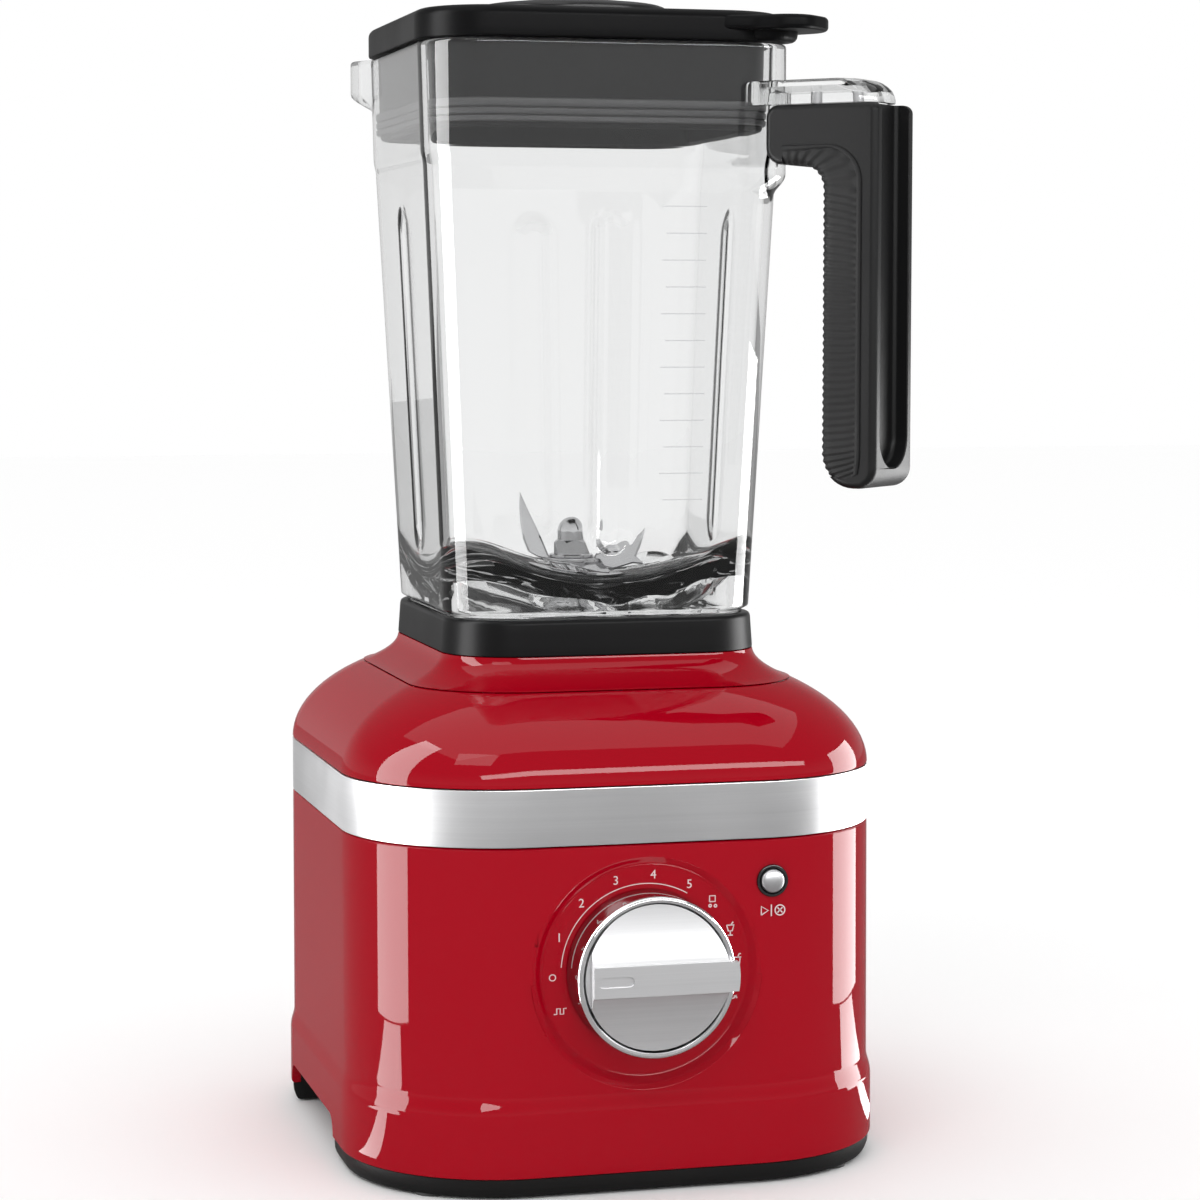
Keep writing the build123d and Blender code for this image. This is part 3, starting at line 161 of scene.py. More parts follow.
def lobe_reach(angle: float, turn: float, centre: float, radius: float) -> float:
    """Distance from the axis to the far side of a circle off the axis, or 0 if the ray misses it."""
    delta = (angle - turn + math.pi) % (2 * math.pi) - math.pi
    side = centre * math.sin(delta)
    if abs(delta) > 1.0 or abs(side) >= radius:
        return 0.0
    return centre * math.cos(delta) + math.sqrt(radius * radius - side * side)


def soft_max(a: float, b: float, blend: float) -> float:
    """Larger of two values, with a rounded change from one to the other."""
    gap = max(blend - abs(a - b), 0.0) / blend
    return max(a, b) + gap * gap * blend * 0.25


# ---------------------------------------------------------------- modelling by operators
class Bench:
    """Edit-mode and modifier steps that every sub-assembly uses."""

    @staticmethod
    def clear() -> None:
        """Leaves edit mode and deselects everything."""
        if bpy.context.object is not None and bpy.context.object.mode != "OBJECT":
            bpy.ops.object.mode_set(mode="OBJECT")
        bpy.ops.object.select_all(action="DESELECT")

    @staticmethod
    def grab(piece: Piece) -> None:
        """Makes one piece the only selected and active object."""
        Bench.clear()
        piece.select_set(True)
        bpy.context.view_layer.objects.active = piece

    @staticmethod
    def settle(piece: Piece) -> None:
        """Moves a piece's place, turn and scale into its mesh."""
        Bench.grab(piece)
        bpy.ops.object.transform_apply(location=True, rotation=True, scale=True)

    @staticmethod
    def named(name: str) -> Piece:
        """Names the piece that an operator has just made."""
        piece = bpy.context.object
        piece.name = piece.data.name = name
        return piece

    @staticmethod
    def face_outwards() -> None:
        """Turns the faces of the edited mesh outwards and leaves edit mode."""
        bpy.ops.mesh.select_all(action="SELECT")
        bpy.ops.mesh.normals_make_consistent(inside=False)
        bpy.ops.object.mode_set(mode="OBJECT")

    @staticmethod
    def skin(name: str, rows: Sequence[Ring], ends: Ends = Ends.FILLED) -> Piece:
        """Rolls a grid into a tube whose rings follow rows of points.

        Args:
            name: Name of the new piece.
            rows: Rings with the same number of points, in millimetres.
            ends: Whether the first and last ring are filled or join each other.

        Returns:
            The new mesh object.
        """
        Bench.clear()
        around, along = len(rows[0]), len(rows)
        if ends is Ends.JOINED:
            rows = list(rows) + [rows[0]]
            along += 1
        bpy.ops.mesh.primitive_grid_add(x_subdivisions=around, y_subdivisions=along - 1, size=1.0)
        piece = Bench.named(name)
        flat: list[float] = []
        for row in rows:
            for point in list(row) + [row[0]]:
                flat.extend(value * MM for value in point)
        piece.data.vertices.foreach_set("co", flat)
        bpy.ops.object.mode_set(mode="EDIT")
        bpy.ops.mesh.select_all(action="SELECT")
        bpy.ops.mesh.remove_doubles(threshold=2e-6)
        if ends is Ends.FILLED:
            bpy.ops.mesh.fill_holes(sides=0)
        Bench.face_outwards()
        piece.location = (0, 0, 0)
        return piece

    @staticmethod
    def lathe(name: str, profile: Outline, steps: int = 96,
              ends: Ends = Ends.JOINED) -> Piece:
        """Turns a profile of (radius, height) pairs about the drive axis."""
        return Bench.skin(name, [circle_ring(max(r, 0.0), z, steps) for r, z in profile], ends)

    @staticmethod
    def block(name: str, low: Point, high: Point) -> Piece:
        """Adds a cube between two corners given in millimetres."""
        Bench.clear()
        centre = [(a + b) / 2 * MM for a, b in zip(low, high)]
        bpy.ops.mesh.primitive_cube_add(size=1.0, location=centre)
        piece = Bench.named(name)
        piece.scale = [(b - a) * MM for a, b in zip(low, high)]
        Bench.settle(piece)
        return piece

    @staticmethod
    def rod(name: str, radius: float, z0: float, z1: float, x: float = 0.0, y: float = 0.0,
            steps: int = 64) -> Piece:
        """Adds an upright cylinder between two heights."""
        Bench.clear()
        bpy.ops.mesh.primitive_cylinder_add(vertices=steps, radius=radius * MM, depth=(z1 - z0) * MM,
                                            location=(x * MM, y * MM, (z0 + z1) / 2 * MM))
        piece = Bench.named(name)
        Bench.settle(piece)
        return piece

    @staticmethod
    def plate(name: str, outline: Outline, thickness: float) -> Piece:
        """Extrudes a flat outline in X-Y upwards from height 0."""
        Bench.clear()
        bpy.ops.mesh.primitive_circle_add(vertices=len(outline), radius=MM, fill_type="NGON")
        piece = Bench.named(name)
        for vertex, (x, y) in zip(piece.data.vertices, outline):
            vertex.co = (x * MM, y * MM, 0.0)
        bpy.ops.object.mode_set(mode="EDIT")
        bpy.ops.mesh.select_all(action="SELECT")
        bpy.ops.mesh.extrude_region_move(TRANSFORM_OT_translate={"value": (0, 0, thickness * MM)})
        Bench.face_outwards()
        piece.location = (0, 0, 0)
        return piece

    @staticmethod
    def pose(piece: Piece, turns: Iterable[tuple[str, float]] = (),
             shift: Point = (0, 0, 0)) -> Piece:
        """Turns a piece about the axes in order, then shifts it, within its mesh.

        Args:
            piece: The piece to place.
            turns: Pairs of axis name and angle in degrees.
            shift: Move in millimetres after the turns.

        Returns:
            The same piece.
        """
        matrix = Matrix.Identity(4)
        for axis, degrees in turns:
            matrix = Matrix.Rotation(math.radians(degrees), 4, axis) @ matrix
        piece.matrix_world = Matrix.Translation(Vector(shift) * MM) @ matrix
        Bench.settle(piece)
        return piece

    @staticmethod
    def merge(body: Piece, tool: Piece, how: str = "DIFFERENCE") -> None:
        """Applies a boolean of a tool piece to a body and removes the tool."""
        Bench.grab(body)
        modifier = body.modifiers.new("merge", "BOOLEAN")
        modifier.operation, modifier.solver, modifier.object = how, "EXACT", tool
        bpy.ops.object.modifier_apply(modifier=modifier.name)
        bpy.data.meshes.remove(tool.data)

    @staticmethod
    def join(pieces: Sequence[Piece]) -> Piece:
        """Joins pieces into the first one."""
        Bench.clear()
        for piece in pieces:
            piece.select_set(True)
        bpy.context.view_layer.objects.active = pieces[0]
        bpy.ops.object.join()
        return pieces[0]

    @staticmethod
    def soften(piece: Piece, width: float, segments: int = 3,
               limit: float = 35.0) -> None:
        """Rounds every edge sharper than a limit in degrees."""
        Bench.grab(piece)
        modifier = piece.modifiers.new("soften", "BEVEL")
        modifier.width, modifier.segments = width * MM, segments
        modifier.limit_method, modifier.angle_limit = "ANGLE", math.radians(limit)
        modifier.harden_normals = False
        bpy.ops.object.modifier_apply(modifier=modifier.name)

    @staticmethod
    def soften_where(piece: Piece, test: Callable[[Vector, Vector], bool], width: float,
                     segments: int = 3) -> None:
        """Bevels the edges whose two ends, in millimetres, pass a test."""
        Bench.grab(piece)
        bpy.ops.object.mode_set(mode="EDIT")
        bpy.ops.mesh.select_mode(type="EDGE")
        bpy.ops.mesh.select_all(action="DESELECT")
        mesh = bmesh.from_edit_mesh(piece.data)
        for edge in mesh.edges:
            a, b = edge.verts[0].co / MM, edge.verts[1].co / MM
            edge.select_set(bool(test(a, b)))
        bmesh.update_edit_mesh(piece.data)
        bpy.ops.mesh.bevel(offset=width * MM, segments=segments, affect="EDGES")
        bpy.ops.object.mode_set(mode="OBJECT")

    @staticmethod
    def polish(piece: Piece, angle: float = SMOOTH_ANGLE) -> None:
        """Shades a piece smooth up to an angle and weights its normals by face area."""
        Bench.grab(piece)
        bpy.ops.object.shade_smooth_by_angle(angle=angle)
        modifier = piece.modifiers.new("weights", "WEIGHTED_NORMAL")
        modifier.mode, modifier.weight, modifier.keep_sharp = "FACE_AREA", 50, True
        bpy.ops.object.modifier_apply(modifier=modifier.name)


def sweep_corner(points: Outline, rounds: Sequence[float],
                 steps: int = 8) -> list[tuple[float, float]]:
    """Rounds the corners of a closed outline.

    Args:
        points: Corners of the outline.
        rounds: Radius at each corner, 0 for a sharp one.
        steps: Segments in each rounded corner.

    Returns:
        The outline's points.
    """
    out: list[tuple[float, float]] = []
    count = len(points)
    for index, (point, radius) in enumerate(zip(points, rounds)):
        here = Vector(point)
        if radius <= 0:
            out.append((here.x, here.y))
            continue
        before = (Vector(points[index - 1]) - here).normalized()
        after = (Vector(points[(index + 1) % count]) - here).normalized()
        half = before.angle(after) / 2
        reach = radius / math.tan(half)
        centre = here + (before + after).normalized() * (radius / math.sin(half))
        start, end = here + before * reach - centre, here + after * reach - centre
        sweep = start.angle_signed(end)
        for step in range(steps + 1):
            turned = start.copy()
            turned.rotate(Matrix.Rotation(-sweep * step / steps, 2))
            out.append((centre.x + turned.x, centre.y + turned.y))
    return out


# ---------------------------------------------------------------- shared surface effects
def add_node(tree: Tree, kind: str, group: Tree | None = None, **values: object) -> bpy.types.Node:
    """Adds a shader node and sets some of its inputs.

    Args:
        tree: Tree that gets the node.
        kind: Type of the node, without its usual prefix.
        group: Node group that a group node shows.
        values: Values of inputs by name, with underscores for spaces.

    Returns:
        The new node.
    """
    made = tree.nodes.new("ShaderNode" + kind)
    if group is not None:
        made.node_tree = group
    for label, value in values.items():
        made.inputs[label.replace("_", " ")].default_value = value
    return made


def add_math(tree: Tree, operation: str, second: float) -> bpy.types.Node:
    """Adds a math node with an operation and its second value."""
    made = add_node(tree, "Math")
    made.operation = operation
    made.inputs[1].default_value = second
    return made


def wire(tree: Tree, *links: Link) -> None:
    """Links an output of one node to an input of another, for each entry."""
    for source, output, target, socket in links:
        tree.links.new(source.outputs[output], target.inputs[socket])


class Effects:
    """Shader node groups that several finishes share, each built once."""

    @staticmethod
    def group(name: str, inputs: Sequence[tuple[str, str, object]],
              outputs: Sequence[tuple[str, str]]) -> tuple[Tree, bpy.types.Node, bpy.types.Node]:
        """Starts a node group with named sockets.

        Args:
            name: Name of the group.
            inputs: Name, kind and default value of each input.
            outputs: Name and kind of each output.

        Returns:
            The tree with its input and output nodes.
        """
        tree = bpy.data.node_groups.new(name, "ShaderNodeTree")
        for label, kind, default in inputs:
            socket = tree.interface.new_socket(
                name=label, in_out="INPUT", socket_type="NodeSocket" + kind)
            socket.default_value = default
        for label, kind in outputs:
            tree.interface.new_socket(name=label, in_out="OUTPUT", socket_type="NodeSocket" + kind)
        return tree, tree.nodes.new("NodeGroupInput"), tree.nodes.new("NodeGroupOutput")

    @staticmethod
    @cache
    def grain() -> Tree:
        """Fine pebbled relief of moulded plastic."""
        tree, inp, out = Effects.group(
            "moulded_grain", (("Scale", "Float", 900.0),), (("Height", "Float"),))
        coords, cells = add_node(tree, "TexCoord"), add_node(tree, "TexVoronoi")
        cells.feature = "SMOOTH_F1"
        wire(tree, (coords, "Object", cells, "Vector"), (inp, "Scale", cells, "Scale"),
             (cells, "Distance", out, "Height"))
        return tree

    @staticmethod
    @cache
    def streaks() -> Tree:
        """Long fine scratches of brushed metal, stretched by a scale per axis."""
        tree, inp, out = Effects.group("brushed_streaks", (("Stretch", "Vector", (6.0, 6.0, 900.0)),),
                                       (("Height", "Float"), ("Shade", "Float")))
        coords, scale = add_node(tree, "TexCoord"), add_node(tree, "VectorMath")
        scale.operation = "MULTIPLY"
        fine = add_node(tree, "TexNoise", Scale=1.0, Detail=5.0, Roughness=0.65)
        wide = add_node(tree, "TexNoise", Scale=0.18, Detail=2.0)
        half, total = add_math(tree, "MULTIPLY", 0.5), add_math(tree, "MULTIPLY_ADD", 0.5)
        wire(tree, (coords, "Object", scale, 0), (inp, "Stretch", scale, 1), (scale, 0, fine, "Vector"),
             (scale, 0, wide, "Vector"), (fine, "Fac", out, "Height"), (fine, "Fac", half, 0),
             (wide, "Fac", total, 0), (half, 0, total, 2), (total, 0, out, "Shade"))
        return tree

    @staticmethod
    @cache
    def smudge() -> Tree:
        """Roughness that drifts between two values where hands and cloths have been."""
        tree, inp, out = Effects.group(
            "handled_gloss", (("Scale", "Float", 18.0), ("Low", "Float", 0.2), ("High", "Float", 0.3)),
            (("Roughness", "Float"),))
        coords, noise = add_node(tree, "TexCoord"), add_node(tree, "TexNoise", Detail=5.0)
        span = add_node(tree, "MapRange", From_Min=0.3, From_Max=0.7)
        wire(tree, (coords, "Object", noise, "Vector"), (inp, "Scale", noise, "Scale"),
             (noise, "Fac", span, "Value"), (inp, "Low", span, "To Min"), (inp, "High", span, "To Max"),
             (span, "Result", out, "Roughness"))
        return tree

    @staticmethod
    @cache
    def drift() -> Tree:
        """Slight change between two colours over a surface."""
        tree, inp, out = Effects.group(
            "colour_drift",
            (("Colour A", "Color", (0.5, 0.5, 0.5, 1)), ("Colour B", "Color", (0.4, 0.4, 0.4, 1)),
             ("Scale", "Float", 10.0)),
            (("Colour", "Color"),))
        coords, noise = add_node(tree, "TexCoord"), add_node(tree, "TexNoise", Detail=3.0)
        blend = add_node(tree, "Mix")
        blend.data_type = "RGBA"
        wire(tree, (coords, "Object", noise, "Vector"), (inp, "Scale", noise, "Scale"),
             (noise, "Fac", blend, "Factor"), (inp, "Colour A", blend, 6), (inp, "Colour B", blend, 7),
             (blend, 2, out, "Colour"))
        return tree


def start_material(name: str, **values: float) -> tuple[bpy.types.Material, Tree, bpy.types.Node]:
    """Starts a node material.

    Args:
        name: Name of the material.
        values: Values of the main shader's inputs by name, with underscores for spaces.

    Returns:
        The material, its tree and its main shader.
    """
    material = bpy.data.materials.new(name)
    material.use_nodes = True
    shader = material.node_tree.nodes["Principled BSDF"]
    for label, value in values.items():
        shader.inputs[label.replace("_", " ")].default_value = value
    return material, material.node_tree, shader


@dataclass(frozen=True)
class Finish:
    """One procedural surface finish.

    Attributes:
        name: Material name.
        colour: Base colour, linear.
        drift: How much darker the second colour of the drift is, as a share.
        drift_scale: Scale of the colour drift.
        rough: Lowest and highest roughness.
        metallic: Metallic value.
        coat: Clear coat weight.
        coat_rough: Clear coat roughness.
        specular: Specular level.
        grain: Scale of the moulded grain, or 0 for none.
        stretch: Scale per axis of brushed streaks, or None.
        relief: Bump strength of the grain or streaks.
        depth: Bump distance in metres.
        anisotropic: Anisotropy of the highlight.
        streak_shade: How strongly the streaks darken the colour.
    """

    name: str
    colour: Colour
    drift: float = 0.08
    drift_scale: float = 9.0
    rough: tuple[float, float] = (0.3, 0.4)
    metallic: float = 0.0
    coat: float = 0.0
    coat_rough: float = 0.03
    specular: float = 0.5
    grain: float = 0.0
    stretch: tuple[float, float, float] | None = None
    relief: float = 0.1
    depth: float = 0.0002
    anisotropic: float = 0.0
    streak_shade: float = 0.22

    def material(self) -> bpy.types.Material:
        """Builds the node material, or returns the one that already has its name."""
        found = bpy.data.materials.get(self.name)
        if found is not None:
            return found
        material, tree, shader = start_material(
            self.name, Metallic=self.metallic, Coat_Weight=self.coat, Coat_Roughness=self.coat_rough,
            Specular_IOR_Level=self.specular, Anisotropic=self.anisotropic)
        darker = tuple(c * (1 - self.drift) for c in self.colour)
        base = add_node(tree, "Group", Effects.drift(), Colour_A=(*self.colour, 1),
                        Colour_B=(*darker, 1), Scale=self.drift_scale)
        gloss = add_node(tree, "Group", Effects.smudge(), Low=self.rough[0], High=self.rough[1])
        colour_from: tuple[bpy.types.Node, str | int] = (base, "Colour")
        if self.stretch is not None or self.grain > 0:
            if self.stretch is not None:
                relief = add_node(tree, "Group", Effects.streaks(), Stretch=self.stretch)
                shade = add_node(tree, "Mix", Factor=self.streak_shade)
                shade.data_type, shade.blend_type = "RGBA", "MULTIPLY"
                wire(tree, (base, "Colour", shade, 6), (relief, "Shade", shade, 7))
                colour_from = (shade, 2)
            else:
                relief = add_node(tree, "Group", Effects.grain(), Scale=self.grain)
            bump = add_node(tree, "Bump", Strength=self.relief, Distance=self.depth)
            wire(tree, (relief, "Height", bump, "Height"), (bump, "Normal", shader, "Normal"))
        wire(tree, (*colour_from, shader, "Base Color"), (gloss, "Roughness", shader, "Roughness"))
        return material


@dataclass(frozen=True)
class ClearFinish:
    """Clear moulded plastic that lets lamps shine through it.

    Attributes:
        name: Material name.
        colour: Tint of light that passes a surface, linear.
        rough: Lowest and highest roughness.
        gloss_scale: Scale of the change in roughness.
        ior: Index of refraction.
        specular: Specular level.
        lamp_share: Share of lamp light that a surface lets through to what it shades.
    """

    name: str = "clear_copolyester"
    colour: Colour = (0.962, 0.965, 0.965)
    rough: tuple[float, float] = (0.0, 0.025)
    gloss_scale: float = 30.0
    ior: float = 1.49
    specular: float = 0.25
    lamp_share: float = 0.86

    def material(self) -> bpy.types.Material:
        """Builds the node material, or returns the one that already has its name."""
        found = bpy.data.materials.get(self.name)
        if found is not None:
            return found
        material, tree, shader = start_material(
            self.name, Transmission_Weight=1.0, IOR=self.ior, Specular_IOR_Level=self.specular)
        darker = tuple(c * 0.99 for c in self.colour)
        tint = add_node(tree, "Group", Effects.drift(), Colour_A=(*self.colour, 1),
                        Colour_B=(*darker, 1))
        gloss = add_node(tree, "Group", Effects.smudge(), Scale=self.gloss_scale, Low=self.rough[0],
                         High=self.rough[1])
        path, mix = add_node(tree, "LightPath"), add_node(tree, "MixShader")
        through = add_node(tree, "BsdfTransparent", Color=(*(self.lamp_share,) * 3, 1))
        wire(tree, (tint, "Colour", shader, "Base Color"), (gloss, "Roughness", shader, "Roughness"),
             (path, "Is Shadow Ray", mix, 0), (shader, 0, mix, 1), (through, 0, mix, 2),
             (mix, 0, tree.nodes["Material Output"], "Surface"))
        return material


RED_PAINT = Finish("red_enamel", (0.37, 0.0006, 0.0095), 0.06, 5.0, (0.24, 0.3), 0.0, 0.55, 0.02,
                   0.0, grain=160.0, relief=0.006, depth=0.0002)
BAND_METAL = Finish("band_brushed_alloy", (0.84, 0.84, 0.85), 0.08, 6.0, (0.3, 0.38), 1.0,
                    stretch=(14.0, 14.0, 1500.0), relief=0.12, depth=0.0001, anisotropic=0.4)
COLLAR_BLACK = Finish("collar_moulding", (0.006, 0.006, 0.0065), 0.2, 12.0, (0.3, 0.38),
                      specular=0.12, grain=1500.0, relief=0.06)
FOOT_BLACK = Finish("foot_moulding", (0.009, 0.009, 0.009), 0.2, 12.0, (0.42, 0.52), specular=0.2,
                    grain=1300.0, relief=0.12)
PAD_RUBBER = Finish("pad_rubber", (0.022, 0.022, 0.022), 0.25, 20.0, (0.7, 0.85), grain=1700.0,
                    relief=0.2)
SCREW_STEEL = Finish("zinc_screws", (0.55, 0.55, 0.56), 0.15, 60.0, (0.28, 0.42), 1.0,
                     grain=2600.0, relief=0.08)
FRAME_ALLOY = Finish("cast_frame", (0.45, 0.46, 0.47), 0.12, 30.0, (0.4, 0.55), 1.0, grain=1100.0,
                     relief=0.25)
LAMINATION = Finish("core_laminations", (0.23, 0.235, 0.25), 0.2, 25.0, (0.35, 0.5), 1.0,
                    stretch=(4.0, 4.0, 2400.0), relief=0.6)
COPPER = Finish("enamelled_copper", (0.62, 0.2, 0.065), 0.3, 40.0, (0.22, 0.34), 1.0,
                stretch=(300.0, 300.0, 1500.0), relief=0.5)
BRASS = Finish("brass_strip", (0.68, 0.45, 0.14), 0.15, 30.0, (0.25, 0.38), 1.0,
               stretch=(1200.0, 1200.0, 30.0), relief=0.2)
CARBON = Finish("brush_carbon", (0.03, 0.03, 0.032), 0.3, 60.0, (0.6, 0.75), grain=2400.0, relief=0.3)
BEARING_STEEL = Finish("bearing_steel", (0.62, 0.62, 0.63), 0.08, 30.0, (0.14, 0.22), 1.0,
                       stretch=(30.0, 30.0, 1800.0), relief=0.08)
DUCT_BLACK = Finish("duct_moulding", (0.02, 0.02, 0.022), 0.2, 15.0, (0.45, 0.6), grain=900.0,
                    relief=0.15)
BOARD_GREEN = Finish("board_laminate", (0.015, 0.11, 0.045), 0.3, 60.0, (0.3, 0.45), coat=0.4,
                     grain=700.0, relief=0.1)
SWITCH_BLACK = Finish("switch_moulding", (0.02, 0.02, 0.021), 0.2, 20.0, (0.35, 0.5), grain=1000.0,
                      relief=0.12)
BEZEL_BLACK = Finish("bezel_gloss", (0.01, 0.01, 0.011), 0.2, 30.0, (0.12, 0.2), coat=0.5,
                     grain=1600.0, relief=0.02)
SHAFT_STEEL = Finish("ground_shaft", (0.6, 0.6, 0.61), 0.08, 30.0, (0.16, 0.26), 1.0,
                     stretch=(60.0, 60.0, 2200.0), relief=0.1)
FAN_BLACK = Finish("fan_moulding", (0.025, 0.025, 0.027), 0.2, 20.0, (0.4, 0.5), grain=1000.0,
                   relief=0.12)
COUPLER_BLACK = Finish("coupler_moulding", (0.02, 0.02, 0.02), 0.25, 25.0, (0.45, 0.6),
                       grain=1200.0, relief=0.15)
KNOB_METAL = Finish("knob_brushed_face", (0.86, 0.86, 0.87), 0.05, 20.0, (0.42, 0.48), 1.0,
                    stretch=(14.0, 500.0, 2200.0), relief=0.1, depth=0.0001, anisotropic=0.3)
CHROME = Finish("knob_chrome", (0.87, 0.87, 0.88), 0.03, 20.0, (0.03, 0.07), 1.0, grain=500.0,
                relief=0.004)
BUTTON_METAL = Finish("button_satin", (0.55, 0.55, 0.56), 0.05, 60.0, (0.36, 0.44), 1.0,
                      grain=2500.0, relief=0.04)
HANDLE_BLACK = Finish("handle_moulding", (0.009, 0.009, 0.0095), 0.2, 14.0, (0.34, 0.44),
                      specular=0.2, grain=1700.0, relief=0.1)
SOFT_GRIP = Finish("soft_grip_rubber", (0.012, 0.012, 0.0125), 0.25, 20.0, (0.55, 0.7),
                   specular=0.25, grain=1900.0, relief=0.22)
GASKET_GREY = Finish("gasket_silicone", (0.035, 0.035, 0.037), 0.2, 20.0, (0.4, 0.5),
                     grain=1500.0, relief=0.08)
BLADE_STEEL = Finish("blade_steel", (0.42, 0.425, 0.43), 0.35, 90.0, (0.1, 0.22), 1.0,
                     stretch=(500.0, 60.0, 900.0), relief=0.12, depth=0.0001)
LID_BLACK = Finish("lid_moulding", (0.004, 0.004, 0.0045), 0.2, 12.0, (0.3, 0.4), specular=0.07,
                   grain=1400.0, relief=0.07)
CAP_BLACK = Finish("cap_moulding", (0.02, 0.02, 0.021), 0.2, 12.0, (0.25, 0.36), specular=0.3,
                   grain=1400.0, relief=0.06)
PRINT_PALE = Finish("printed_marks", (0.78, 0.62, 0.63), 0.1, 200.0, (0.45, 0.55), grain=3000.0,
                    relief=0.05)
SCALE_PRINT = Finish("scale_marks", (0.62, 0.63, 0.64), 0.1, 200.0, (0.5, 0.6), grain=3000.0,
                     relief=0.05)
CLEAR_JAR = ClearFinish()


class Fit:
    """Fixes finished pieces to the frame."""

    count: int = 0

    @staticmethod
    def on(piece: Piece, body: Body, finish: Finish | ClearFinish, slot: str | None,
           *replaced: str) -> None:
        """Dresses a piece and rides it on a body.

        Args:
            piece: The finished piece.
            body: Body that carries it.
            finish: Its surface finish.
            slot: Material slot of the record, or None; not used.
            replaced: CAD nodes that it stands for.
        """
        piece.data.materials.clear()
        piece.data.materials.append(finish.material())
        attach(piece, body.value)
        if replaced:
            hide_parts(*replaced)
        Fit.count += 1
        LOG.info("%s on %s: %d faces", piece.name, body.value, len(piece.data.polygons))


def cad(node: str) -> tuple[Vector, Vector]:
    """Lowest and highest corner of a CAD node at rest, in millimetres."""
    low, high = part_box(node)
    return Vector(low) / MM, Vector(high) / MM


